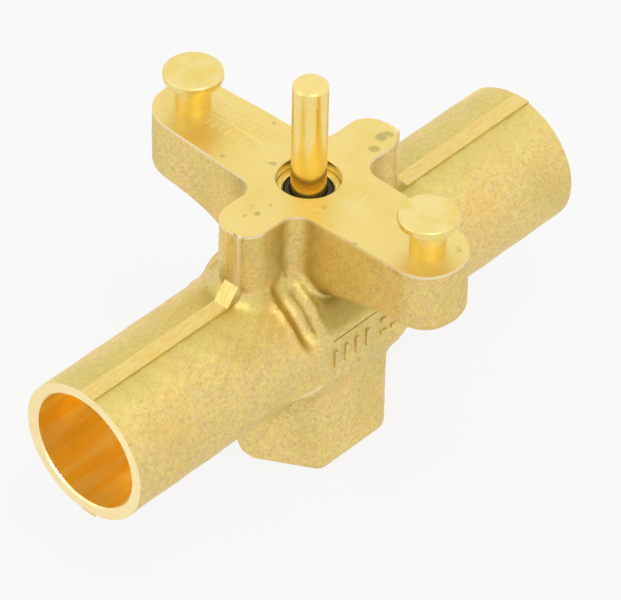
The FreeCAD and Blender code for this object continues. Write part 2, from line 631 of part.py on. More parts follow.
def main():
    """Build every sub-part and write it to parts/."""
    os.makedirs("parts", exist_ok=True)
    nodes = {
        "valve_body": valve_body(),
        "actuator_pin_left": actuator_pin(1),
        "actuator_pin_right": actuator_pin(-1),
        "seal_retainer": seal_retainer(),
        "wiper_seal": wiper_seal(),
        "upper_stem_o_ring": stem_o_ring(UPPER_RING_Z),
        "seal_spacer": seal_spacer(),
        "lower_stem_o_ring": stem_o_ring(LOWER_RING_Z),
        "guide_bush": guide_bush(),
        "stem": stem(),
        "disc_washer": disc_washer(),
        "seat_disc": seat_disc(),
        "disc_carrier": disc_carrier(),
        "lock_washer": lock_washer(),
        "disc_nut": disc_nut(),
        "return_spring": return_spring(),
        "bottom_plug": bottom_plug(),
        "plug_o_ring": plug_o_ring(),
    }
    for name, shape in nodes.items():
        solids = len(shape.Solids)
        print(name, "valid" if shape.isValid() else "INVALID", solids, round(shape.Volume, 1))
        shape.exportStep("parts/" + name + ".step")


main()
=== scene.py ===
"""Looks of a refrigerant service valve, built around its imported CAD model.

The valve is a forged brass body with two pipe stubs, a cross flange that carries two
actuator pins, and a push stem in its gland.  The forging is a distance field that is
meshed, machined and dressed.  Turned pieces, the spring and the rows of marks are Geometry
Nodes trees.
Everything is in the CAD frame: metres, +Z up along the stem, +X along the pipe.
"""
import logging
import math
from dataclasses import dataclass, field
from enum import Enum, IntEnum

import bmesh
import bpy
import numpy as np
from mathutils import Matrix, Vector


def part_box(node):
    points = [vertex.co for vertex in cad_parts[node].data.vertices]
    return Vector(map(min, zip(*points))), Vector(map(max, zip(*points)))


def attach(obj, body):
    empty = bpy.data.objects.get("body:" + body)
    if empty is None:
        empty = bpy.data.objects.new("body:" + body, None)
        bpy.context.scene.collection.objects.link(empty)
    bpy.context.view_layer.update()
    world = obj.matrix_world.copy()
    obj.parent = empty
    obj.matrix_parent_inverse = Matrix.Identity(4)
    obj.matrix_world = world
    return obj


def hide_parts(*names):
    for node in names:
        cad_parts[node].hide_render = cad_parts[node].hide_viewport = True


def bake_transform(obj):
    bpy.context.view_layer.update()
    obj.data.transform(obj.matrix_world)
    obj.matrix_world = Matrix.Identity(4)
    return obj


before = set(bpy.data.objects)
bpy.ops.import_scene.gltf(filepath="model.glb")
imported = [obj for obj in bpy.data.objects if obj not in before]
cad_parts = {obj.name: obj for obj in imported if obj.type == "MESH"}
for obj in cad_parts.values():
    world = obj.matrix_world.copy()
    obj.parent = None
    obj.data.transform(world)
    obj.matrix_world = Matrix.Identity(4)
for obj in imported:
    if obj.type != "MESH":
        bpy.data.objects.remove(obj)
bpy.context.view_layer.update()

LOG = logging.getLogger("service_valve")
MM = 0.001  # metres
TINY = 0.001  # millimetres: faces this close lie in one plane

Four = tuple[float, float, float, float]
Colour = Four
Triple = tuple[float, float, float]
Place = tuple[np.ndarray, np.ndarray, np.ndarray]
Waves = tuple[Four, ...]
Outline = list[tuple[float, float]]
Corners = list[Triple]


class Slot(Enum):
    """Material slots of the part's record."""

    FORGED = "forged_brass"
    TURNED = "turned_brass"
    POLISHED = "polished_brass"
    RUBBER = "black_rubber"
    PLASTIC = "white_plastic"
    STEEL = "spring_steel"


class Body(Enum):
    """Moving bodies of the part."""

    VALVE = "body"
    STEM = "stem_assembly"


class Skin(IntEnum):
    """Kinds of face on the forging, in the order of its materials."""

    FORGED = 0
    MILLED = 1
    SHEARED = 2
    BORED = 3
    TURNED = 4
    FACED = 5


# ---------------------------------------------------------------- small tools
def node_box_mm(node: str) -> tuple[np.ndarray, np.ndarray]:
    """Gives a CAD node's box in millimetres.

    Args:
        node: Name of the CAD node.

    Returns:
        Its lowest and its highest corner.
    """
    low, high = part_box(node)
    return np.array(low) / MM, np.array(high) / MM


def fillet_union(a: np.ndarray, b: np.ndarray, radius: float | np.ndarray) -> np.ndarray:
    """Joins two distance fields with a fillet in the corner between them.

    Args:
        a: First field.
        b: Second field.
        radius: Radius of the fillet.

    Returns:
        The joined field.
    """
    gap = np.hypot(np.maximum(radius - a, 0), np.maximum(radius - b, 0))
    return np.maximum(radius, np.minimum(a, b)) - gap


def round_common(a: np.ndarray, b: np.ndarray, radius: float) -> np.ndarray:
    """Keeps what two distance fields share, with the edge between them rounded.

    Args:
        a: First field.
        b: Second field.
        radius: Radius of the rounded edge.

    Returns:
        The shared field.
    """
    over = np.hypot(np.maximum(radius + a, 0), np.maximum(radius + b, 0))
    return np.minimum(-radius, np.maximum(a, b)) + over


def linked(name: str, data: bpy.types.ID) -> bpy.types.Object:
    """Makes an object and links it to the scene.

    Args:
        name: Name of the object.
        data: Its mesh, lamp or camera.

    Returns:
        The new object.
    """
    made = bpy.data.objects.new(name, data)
    bpy.context.scene.collection.objects.link(made)
    return made


def mesh_object(name: str, points: np.ndarray | list, faces: np.ndarray | list,
                edges: list = ()) -> bpy.types.Object:
    """Makes an object from points in millimetres.

    Args:
        name: Name of the object and its mesh.
        points: One row of x, y, z for each vertex.
        faces: Vertex numbers of each face.
        edges: Pairs of vertices, for a mesh without faces.

    Returns:
        The new object, linked to the scene.
    """
    mesh = bpy.data.meshes.new(name)
    rows = faces.tolist() if isinstance(faces, np.ndarray) else faces
    mesh.from_pydata((np.asarray(points, float) * MM).tolist(), list(edges), rows)
    mesh.update()
    return linked(name, mesh)


def baked(source: bpy.types.Object, name: str) -> bpy.types.Object:
    """Turns an object with modifiers into a plain mesh object, and removes the first.

    Args:
        source: Object with its modifiers.
        name: Name of the plain object.

    Returns:
        The plain object.
    """
    graph = bpy.context.evaluated_depsgraph_get()
    mesh = bpy.data.meshes.new_from_object(source.evaluated_get(graph), depsgraph=graph)
    mesh.name = name
    bpy.data.objects.remove(source)
    return linked(name, mesh)


def shade_smooth(mesh: bpy.types.Mesh, crease_deg: float) -> None:
    """Shades a mesh smooth up to its sharp edges.

    Args:
        mesh: The mesh.
        crease_deg: Angle in degrees from which an edge is sharp.
    """
    mesh.polygons.foreach_set("use_smooth", np.ones(len(mesh.polygons), bool))
    mesh.set_sharp_from_angle(angle=math.radians(crease_deg))


def placed(piece: bpy.types.Object, body: Body, slot: Slot, *nodes: str) -> bpy.types.Object:
    """Parents a finished piece to its body and hides the CAD nodes that it stands for.

    Args:
        piece: Finished mesh object, at the origin.
        body: CAD body that it rides on.
        slot: Material slot of the record; not used.
        nodes: CAD nodes that it stands for.

    Returns:
        The same piece.
    """
    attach(piece, body.value)
    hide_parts(*nodes)
    LOG.info("%s: %d faces", piece.name, len(piece.data.polygons))
    return piece


# ---------------------------------------------------------------- Geometry Nodes
class NodeRig:
    """Geometry Nodes tree with named inputs that ends in Realize Instances, Set Material."""

    def __init__(self, name: str, **inputs: str) -> None:
        """Starts the tree with its inputs.

        Args:
            name: Name of the tree.
            inputs: Socket type of each input of its own, by name.
        """
        self.tree = bpy.data.node_groups.new(name, "GeometryNodeTree")
        kinds = {"geometry": "Geometry", **inputs, "finish": "Material"}
        for key, kind in kinds.items():
            self.tree.interface.new_socket(self.label(key), in_out="INPUT",
                                           socket_type=f"NodeSocket{kind}")
        self.tree.interface.new_socket("Geometry", in_out="OUTPUT",
                                       socket_type="NodeSocketGeometry")
        start = self.tree.nodes.new("NodeGroupInput")
        self.given = {key: start.outputs[self.label(key)] for key in kinds}

    @staticmethod
    def label(key: str) -> str:
        """Turns a keyword into a socket's name."""
        return key.replace("_", " ").title()

    def add(self, kind: str, **inputs: object) -> bpy.types.NodeSocket:
        """Adds a node.

        Args:
            kind: Blender's name of the node, without GeometryNode.
            inputs: Socket or value for each of its inputs, by name.

        Returns:
            Its first output.
        """
        node = self.tree.nodes.new(f"GeometryNode{kind}")
        for key, value in inputs.items():
            socket = node.inputs[self.label(key)]
            if isinstance(value, bpy.types.NodeSocket):
                self.tree.links.new(value, socket)
            else:
                socket.default_value = value
        return node.outputs[0]

    def close(self, geometry: bpy.types.NodeSocket) -> "NodeRig":
        """Ends the tree.

        Args:
            geometry: What the tree has made.

        Returns:
            The finished rig.
        """
        real = self.add("RealizeInstances", geometry=geometry)
        painted = self.add("SetMaterial", geometry=real, material=self.given["finish"])
        self.tree.links.new(painted, self.tree.nodes.new("NodeGroupOutput").inputs[0])
        return self

    def grow(self, seed: bpy.types.Object, name: str, **values: object) -> bpy.types.Object:
        """Runs the tree on a seed object.

        Args:
            seed: Object that the tree starts from; it is used up.
            name: Name of the result.
            values: Value of each input, by name.

        Returns:
            The plain mesh object.
        """
        modifier = seed.modifiers.new(self.tree.name, "NODES")
        modifier.node_group = self.tree
        sockets = {item.name: item.identifier for item in self.tree.interface.items_tree
                   if item.in_out == "INPUT"}
        for key, value in values.items():
            modifier[sockets[self.label(key)]] = value
        return baked(seed, name)


# ---------------------------------------------------------------- finishes
@dataclass(frozen=True)
class Grain:
    """Noise: feature size in millimetres, finer octaves, their strength, and its stretch."""

    size: float
    octaves: float = 3.0
    strength: float = 0.55
    stretch: Triple = (1.0, 1.0, 1.0)


@dataclass(frozen=True)
class Layer:
    """Tint over a finish: its share goes from one value to another between low and high."""

    source: Grain | str
    low: float
    high: float
    tint: Colour
    shares: tuple[float, float] = (0.0, 1.0)


@dataclass(frozen=True)
class Relief:
    """Bumps of a grain: their depth in millimetres and the strength of the effect."""

    grain: Grain
    depth: float
    strength: float


class ShaderSheet:
    """Node tree of one finish, with short calls for the nodes that finishes share."""

    def __init__(self, name: str) -> None:
        """Starts an empty tree with its Principled shader.

        Args:
            name: Name of the material.
        """
        self.material = bpy.data.materials.new(name)
        self.material.use_nodes = True
        self.nodes = self.material.node_tree.nodes
        self.links = self.material.node_tree.links
        self.place = self.nodes.new("ShaderNodeTexCoord").outputs["Object"]
        self.grains: dict[Grain, bpy.types.NodeSocket] = {}

    def feed(self, socket: bpy.types.NodeSocket, value: object) -> None:
        """Links or sets one input.

        Args:
            socket: Input socket.
            value: Output socket, number or colour.
        """
        if isinstance(value, bpy.types.NodeSocket):
            self.links.new(value, socket)
        else:
            socket.default_value = value

    def noise(self, grain: Grain) -> bpy.types.NodeSocket:
        """Gives the value of a grain, from 0 to 1.

        Args:
            grain: The grain; equal grains share one node.

        Returns:
            The value socket.
        """
        if grain not in self.grains:
            mapping = self.nodes.new("ShaderNodeMapping")
            self.feed(mapping.inputs["Vector"], self.place)
            mapping.inputs["Scale"].default_value = grain.stretch
            node = self.nodes.new("ShaderNodeTexNoise")
            self.feed(node.inputs["Vector"], mapping.outputs["Vector"])
            node.inputs["Scale"].default_value = 1.0 / (grain.size * MM)
            node.inputs["Detail"].default_value = grain.octaves
            node.inputs["Roughness"].default_value = grain.strength
            self.grains[grain] = node.outputs["Fac"]
        return self.grains[grain]

    def band(self, value: object, low: float, high: float,
             to: tuple[float, float] = (0.0, 1.0)) -> bpy.types.NodeSocket:
        """Maps a value smoothly from one range to another.

        Args:
            value: Value socket.
            low: Where the result starts to change.
            high: Where it stops.
            to: Result at low and at high.

        Returns:
            The value socket.
        """
        node = self.nodes.new("ShaderNodeMapRange")
        node.interpolation_type = "SMOOTHSTEP"
        self.feed(node.inputs["Value"], value)
        for key, number in zip(("From Min", "From Max", "To Min", "To Max"), (low, high, *to)):
            node.inputs[key].default_value = number
        return node.outputs["Result"]

    def maths(self, operation: str, a: object, b: object = 0.0) -> bpy.types.NodeSocket:
        """Adds a Math node.

        Args:
            operation: Blender's name of the operation.
            a: First value.
            b: Second value.

        Returns:
            The value socket.
        """
        node = self.nodes.new("ShaderNodeMath")
        node.operation = operation
        self.feed(node.inputs[0], a)
        self.feed(node.inputs[1], b)
        return node.outputs[0]

    def blend(self, share: object, a: object, b: object) -> bpy.types.NodeSocket:
        """Mixes two colours.

        Args:
            share: Share of the second colour.
            a: First colour.
            b: Second colour.

        Returns:
            The colour socket.
        """
        node = self.nodes.new("ShaderNodeMix")
        node.data_type = "RGBA"
        for name, value in (("Factor", share), ("A", a), ("B", b)):
            kind = "VALUE" if name == "Factor" else "RGBA"
            self.feed(next(s for s in node.inputs if s.name == name and s.type == kind), value)
        return next(s for s in node.outputs if s.type == "RGBA")

    def layered(self, colour: object, *layers: Layer) -> bpy.types.NodeSocket:
        """Lays tints over a colour, one over the other.

        Args:
            colour: The colour below.
            layers: The tints; a source that is no grain is the name of a trait of the mesh.

        Returns:
            The colour socket.
        """
        for layer in layers:
            if isinstance(layer.source, Grain):
                value = self.noise(layer.source)
            else:
                node = self.nodes.new("ShaderNodeAttribute")
                node.attribute_name = layer.source
                value = node.outputs["Fac"]
            share = self.band(value, layer.low, layer.high, layer.shares)
            colour = self.blend(share, colour, layer.tint)
        return colour

    def split(self) -> list[bpy.types.NodeSocket]:
        """Splits the Object coordinates into x, y and z.

        Returns:
            The three value sockets.
        """
        node = self.nodes.new("ShaderNodeSeparateXYZ")
        self.feed(node.inputs[0], self.place)
        return list(node.outputs)

    def bump(self, height: object, depth: float, strength: float,
             under: bpy.types.NodeSocket | None = None) -> bpy.types.NodeSocket:
        """Adds relief.

        Args:
            height: Height socket, from 0 to 1.
            depth: Depth of the relief in millimetres.
            strength: Strength of the effect.
            under: Normal of the relief that this one lies on.

        Returns:
            The normal socket.
        """
        node = self.nodes.new("ShaderNodeBump")
        node.inputs["Distance"].default_value = depth * MM
        node.inputs["Strength"].default_value = strength
        self.feed(node.inputs["Height"], height)
        if under is not None:
            self.feed(node.inputs["Normal"], under)
        return node.outputs["Normal"]

    def reliefs(self, *reliefs: Relief) -> bpy.types.NodeSocket:
        """Adds the bumps of several grains, one over the other.

        Args:
            reliefs: The bumps, coarsest first.

        Returns:
            The normal socket.
        """
        normal = None
        for relief in reliefs:
            normal = self.bump(self.noise(relief.grain), relief.depth, relief.strength, normal)
        return normal

    def sheen(self, grain: Grain, rough: tuple[float, float]) -> bpy.types.NodeSocket:
        """Makes the roughness follow a grain.

        Args:
            grain: The grain.
            rough: Roughness at its low and at its high places.

        Returns:
            The value socket.
        """
        return self.band(self.noise(grain), 0.3, 0.7, rough)

    def finished(self, colour: object, roughness: object, normal: bpy.types.NodeSocket,
                 metallic: float = 1.0) -> bpy.types.Material:
        """Closes the tree.

        Args:
            colour: Base colour.
            roughness: Roughness.
            normal: Normal socket.
            metallic: Metallic share.

        Returns:
            The material.
        """
        shader = self.nodes["Principled BSDF"]
        for key, value in (("Metallic", metallic), ("Base Color", colour),
                           ("Roughness", roughness), ("Normal", normal)):
            self.feed(shader.inputs[key], value)
        return self.material


@dataclass(frozen=True)
class ForgedBrass:
    """Shot-blasted forging skin: a fine grain of straw, tan, olive and orange, under painted shade
    and painted highlights.
    """

    name: str = "forged_brass_skin"
    straw: Colour = (0.90, 0.72, 0.25, 1)
    tan: Colour = (0.84, 0.61, 0.28, 1)
    # Olive patches, and the painted shade band on the stubs' tops
    olive: Colour = (0.66, 0.55, 0.16, 1)
    orange: Colour = (0.90, 0.60, 0.19, 1)
    # Dark specks, and the painted shade in the skin's hollows
    dark: Colour = (0.36, 0.26, 0.08, 1)
    # Pale specks, and the painted highlights on ridges and along the flange's top edge
    speck_and_highlight: Colour = (0.97, 0.84, 0.58, 1)
    # Painted shade where the skin is shut in: under the arms and between parts
    painted_shade_brown: Colour = (0.46, 0.34, 0.07, 1)
    fine: Grain = Grain(0.6, strength=0.65)
    mottle: Grain = Grain(1.1, 4.0, 0.7, (1, 1.15, 0.9))
    patch: Grain = Grain(0.9, 3.0, 0.7, (0.9, 1, 1.2))
    rough: tuple[float, float] = (0.56, 0.46)
    # Painted highlight: a bright line just under the flange's top edge
    rim_highlight_z: float = 0.0562
    rim_highlight_height: float = 0.0002
    rim_highlight_waver: float = 0.0007
    rim_highlight_share: float = 0.75
    # Painted shade: an olive band on the stubs' tops beside the flash
    band_y: float = -0.001
    band_reach: tuple[float, float] = (0.0035, 0.0095)
    band_share: float = 0.5
    crown_from: tuple[float, float] = (0.0365, 0.0395)
    crown_to: tuple[float, float] = (0.0424, 0.0436)

    def layers(self) -> tuple[Layer, ...]:
        """Gives the tints of the grain, then the painted shade of the skin's hollows and shut-in
        places and the painted highlight on its ridges.

        Returns:
            The tints, lowest first.
        """
        return (Layer(self.mottle, 0.40, 0.62, self.tan),
                Layer(self.patch, 0.48, 0.68, self.olive, (0.0, 0.60)),
                Layer(Grain(10.0), 0.42, 0.70, self.orange, (0.0, 0.42)),
                Layer(Grain(14.0, 2.0, stretch=(1, 1.3, 0.8)), 0.45, 0.7, self.olive, (0.0, 0.45)),
                Layer(self.fine, 0.30, 0.46, self.dark, (0.32, 0.0)),
                Layer(self.fine, 0.58, 0.74, self.speck_and_highlight, (0.0, 0.40)),
                Layer(Grain(2.6), 0.70, 0.77, self.dark, (0.0, 0.35)),
                # Painted shade: darker in the skin's hollows and creases
                Layer("hollow", 0.25, 0.9, self.dark, (0.0, 0.40)),
                # Painted shade where the skin is shut in, under the arms and between parts
                Layer("shade", 0.25, 0.80, self.painted_shade_brown, (0.0, 0.72)),
                # Painted highlight: lighter on the skin's ridges
                Layer("ridge", 0.30, 0.85, self.speck_and_highlight, (0.0, 0.50)))

    def build(self) -> bpy.types.Material:
        """Builds the skin, with a painted olive shade band on the stubs' tops beside the flash and
        a painted highlight along the flange's top edge.

        Returns:
            The material.
        """
        sheet = ShaderSheet(self.name)
        colour = sheet.layered(self.straw, *self.layers())
        # Painted shade: an olive band on the stubs' tops beside the flash
        _, north, up = sheet.split()
        away = sheet.maths("ABSOLUTE", sheet.maths("SUBTRACT", north, self.band_y))
        beside = sheet.band(away, *self.band_reach, (self.band_share, 0.0))
        crown = sheet.maths("MULTIPLY", sheet.band(up, *self.crown_from),
                            sheet.band(up, *self.crown_to, (1.0, 0.0)))
        colour = sheet.blend(sheet.maths("MULTIPLY", beside, crown), colour, self.olive)
        # Painted highlight: a bright line just under the flange's top edge, wavering with the
        # patches
        waver = sheet.maths("MULTIPLY", sheet.noise(self.patch), self.rim_highlight_waver)
        rim_highlight = sheet.band(sheet.maths("ADD", up, waver), self.rim_highlight_z,
                          self.rim_highlight_z + self.rim_highlight_height, (0.0, self.rim_highlight_share))
        colour = sheet.blend(rim_highlight, colour, self.speck_and_highlight)
        relief = sheet.reliefs(Relief(Grain(3.2, 2.0), 0.12, 0.5),
                               Relief(self.mottle, 0.05, 0.6), Relief(self.fine, 0.05, 0.8))
        return sheet.finished(colour, sheet.sheen(self.fine, self.rough), relief)


@dataclass(frozen=True)
class Blot:
    """Stain on the flange: its place and reach in millimetres, and how dark it is."""

    x: float
    y: float
    reach: float
    depth: float


@dataclass(frozen=True)
class MilledBrass:
    """Milled flange top: pale, with faint straight mill marks, stains and a few pits."""

    name: str = "milled_brass"
    colour: Colour = (0.90, 0.71, 0.25, 1)
    warm: Colour = (0.86, 0.64, 0.17, 1)
    stain: Colour = (0.50, 0.42, 0.14, 1)
    pale: Colour = (0.93, 0.80, 0.42, 1)
    streak: Grain = Grain(0.45, stretch=(1.5, 0.05, 1.0))
    rough: tuple[float, float] = (0.46, 0.36)
    pit: Grain = Grain(3.1, 1.0)
    pit_edge: tuple[float, float] = (0.755, 0.785)
    pit_share: float = 0.6
    blot_edge: tuple[float, float] = (0.9, 1.7)
    ragged: float = 1.6
    blots: tuple[Blot, ...] = (
        Blot(16.6, -1.9, 1.5, 0.8), Blot(18.3, -2.4, 1.0, 0.7), Blot(13.4, -3.1, 1.3, 0.8),
        Blot(-13.4, -0.4, 0.8, 0.8), Blot(-10.1, -0.5, 0.5, 0.7), Blot(-15.2, 0.7, 0.5, 0.6))

    def build(self) -> bpy.types.Material:
        """Builds the milled face.

        Returns:
            The material.
        """
        sheet = ShaderSheet(self.name)
        colour = sheet.layered(self.colour, Layer(Grain(11.0), 0.40, 0.68, self.warm, (0.0, 0.7)),
                               Layer(self.streak, 0.5, 0.75, self.pale, (0.0, 0.35)),
                               Layer(Grain(6.0, 4.0, 0.7), 0.66, 0.76, self.stain, (0.0, 0.45)))
        edge = sheet.maths("MULTIPLY", sheet.noise(Grain(1.4)), self.ragged)
        east, north, _ = sheet.split()
        for blot in self.blots:
            away = edge
            for along, middle in ((east, blot.x), (north, blot.y)):
                gap = sheet.maths("MULTIPLY", sheet.maths("SUBTRACT", along, middle * MM),
                                  1 / (blot.reach * MM))
                away = sheet.maths("ADD", away, sheet.maths("MULTIPLY", gap, gap))
            share = sheet.band(away, *self.blot_edge, (blot.depth, 0.0))
            colour = sheet.blend(share, colour, self.stain)
        pits = sheet.band(sheet.noise(self.pit), *self.pit_edge)
        colour = sheet.blend(sheet.maths("MULTIPLY", pits, self.pit_share), colour, self.stain)
        relief = sheet.bump(sheet.noise(self.streak), 0.007, 0.6)
        relief = sheet.bump(sheet.maths("SUBTRACT", 1.0, pits), 0.04, 0.5, relief)
        return sheet.finished(colour, sheet.sheen(self.streak, self.rough), relief)


@dataclass(frozen=True)
class CutMetal:
    """Metal with tool marks: a colour, tints over it and bumps; the first bumps set its sheen."""

    name: str
    colour: Colour
    layers: tuple[Layer, ...]
    reliefs: tuple[Relief, ...]
    rough: tuple[float, float]
    metallic: float = 1.0

    def build(self) -> bpy.types.Material:
        """Builds the metal.

        Returns:
            The material.
        """
        sheet = ShaderSheet(self.name)
        colour = sheet.layered(self.colour, *self.layers)
        relief = sheet.reliefs(*self.reliefs)
        rough = sheet.sheen(self.reliefs[0].grain, self.rough)
        return sheet.finished(colour, rough, relief, self.metallic)


STREAK = Grain(0.8, stretch=(0.35, 1.6, 0.25))
BORE_STREAK_AND_REFLECTION = Grain(3.4, stretch=(0.08, 1.0, 1.0))

# Trimmed flash: a smoother gold band with marks along it.
SHEARED_BRASS = CutMetal(
    "sheared_brass", (0.84, 0.61, 0.18, 1),
    (Layer(STREAK, 0.34, 0.70, (0.88, 0.69, 0.26, 1)),
     Layer(Grain(0.8), 0.60, 0.72, (0.48, 0.34, 0.10, 1), (0.0, 0.25))),
    (Relief(STREAK, 0.015, 0.5),), (0.44, 0.34))

# Bored sockets: deep gold, with painted reflections as soft orange bands along the pipe, and soft
# streaks along it in the bumps.
BORED_BRASS = CutMetal(
    "bored_brass", (1.0, 0.76, 0.15, 1),
    # Painted reflections: orange bands along the pipe
    (Layer(BORE_STREAK_AND_REFLECTION, 0.40, 0.58, (0.98, 0.62, 0.04, 1)),),
    (Relief(BORE_STREAK_AND_REFLECTION, 0.02, 0.6),
     Relief(Grain(0.4, 1.0, stretch=(1.0, 0.03, 0.03)), 0.006, 0.5)),
    (0.28, 0.40), metallic=0.65)

# Drawn spring wire: grey steel with drawing marks and an oily tint.
SPRING_STEEL = CutMetal(
    "drawn_steel", (0.42, 0.42, 0.43, 1),
    (Layer(Grain(2.0, 2.0), 0.4, 0.7, (0.34, 0.31, 0.27, 1)),),
    (Relief(Grain(0.15, 2.0), 0.008, 0.6),), (0.24, 0.36))


@dataclass(frozen=True)
class TurnedBrass:
    """Lathe-turned brass: two colours, its sheen, and rings about the stem in millimetres."""

    name: str = "turned_brass_rings"
    colour: Colour = (0.91, 0.74, 0.30, 1)
    deep: Colour = (0.88, 0.66, 0.18, 1)
    dark: Colour = (0.42, 0.33, 0.12, 1)
    rough: tuple[float, float] = (0.24, 0.34)
    ring: float = 0.25
    depth: float = 0.005

    def build(self) -> bpy.types.Material:
        """Builds the turned metal.

        Returns:
            The material.
        """
        rings = Grain(self.ring, 2.0, stretch=(0.04, 0.04, 1.0))
        layers = (Layer(Grain(4.0), 0.35, 0.7, self.deep),
                  Layer(Grain(1.9, 2.0), 0.74, 0.79, self.dark, (0.0, 0.6)))
        return CutMetal(self.name, self.colour, layers, (Relief(rings, self.depth, 0.7),),
                        self.rough).build()


@dataclass(frozen=True)
class BlackRubber:
    """Seal rubber: near black, satin, with faint dust."""

    name: str = "seal_rubber"
    colour: Colour = (0.018, 0.015, 0.013, 1)
    dust: Colour = (0.09, 0.08, 0.07, 1)
    dust_share: float = 0.5

    def build(self) -> bpy.types.Material:
        """Builds the rubber; it is duller where the dust lies.

        Returns:
            The material.
        """
        sheet = ShaderSheet(self.name)
        dusty = sheet.band(sheet.noise(Grain(0.8)), 0.55, 0.8, (0.0, self.dust_share))
        colour = sheet.blend(dusty, self.colour, self.dust)
        rough = sheet.band(dusty, 0.0, self.dust_share, (0.42, 0.62))
        relief = sheet.reliefs(Relief(Grain(0.25, 2.0), 0.01, 0.5))
        return sheet.finished(colour, rough, relief, metallic=0.0)


@dataclass(frozen=True)
class WhitePlastic:
    """Natural PTFE: waxy white with faint turning rings."""

    name: str = "ptfe_plastic"
    colour: Colour = (0.82, 0.81, 0.77, 1)
    shade: Colour = (0.70, 0.69, 0.64, 1)
    rings: Grain = Grain(0.2, 1.0, stretch=(0.04, 0.04, 1.0))

    def build(self) -> bpy.types.Material:
        """Builds the plastic.

        Returns:
            The material.
        """
        sheet = ShaderSheet(self.name)
        colour = sheet.blend(sheet.noise(Grain(3.0, 2.0)), self.colour, self.shade)
        relief = sheet.reliefs(Relief(self.rings, 0.006, 0.5))
        return sheet.finished(colour, sheet.sheen(self.rings, (0.36, 0.46)), relief, metallic=0.0)


@dataclass
class Finishes:
    """All the finishes of the valve, built once."""

    forged: bpy.types.Material = field(default_factory=lambda: ForgedBrass().build())
    milled: bpy.types.Material = field(default_factory=lambda: MilledBrass().build())
    sheared: bpy.types.Material = field(default_factory=SHEARED_BRASS.build)
    turned: bpy.types.Material = field(default_factory=lambda: TurnedBrass().build())
    bore: bpy.types.Material = field(default_factory=BORED_BRASS.build)
    faced: bpy.types.Material = field(default_factory=lambda: TurnedBrass(
        "faced_brass", (0.99, 0.83, 0.45, 1), (0.98, 0.80, 0.40, 1), rough=(0.34, 0.42)).build())
    polished: bpy.types.Material = field(default_factory=lambda: TurnedBrass(
        "polished_brass_stem", (0.94, 0.76, 0.30, 1), (0.93, 0.71, 0.22, 1), rough=(0.22, 0.28),
        ring=0.15, depth=0.002).build())
    rubber: bpy.types.Material = field(default_factory=lambda: BlackRubber().build())
    plastic: bpy.types.Material = field(default_factory=lambda: WhitePlastic().build())
    steel: bpy.types.Material = field(default_factory=SPRING_STEEL.build)


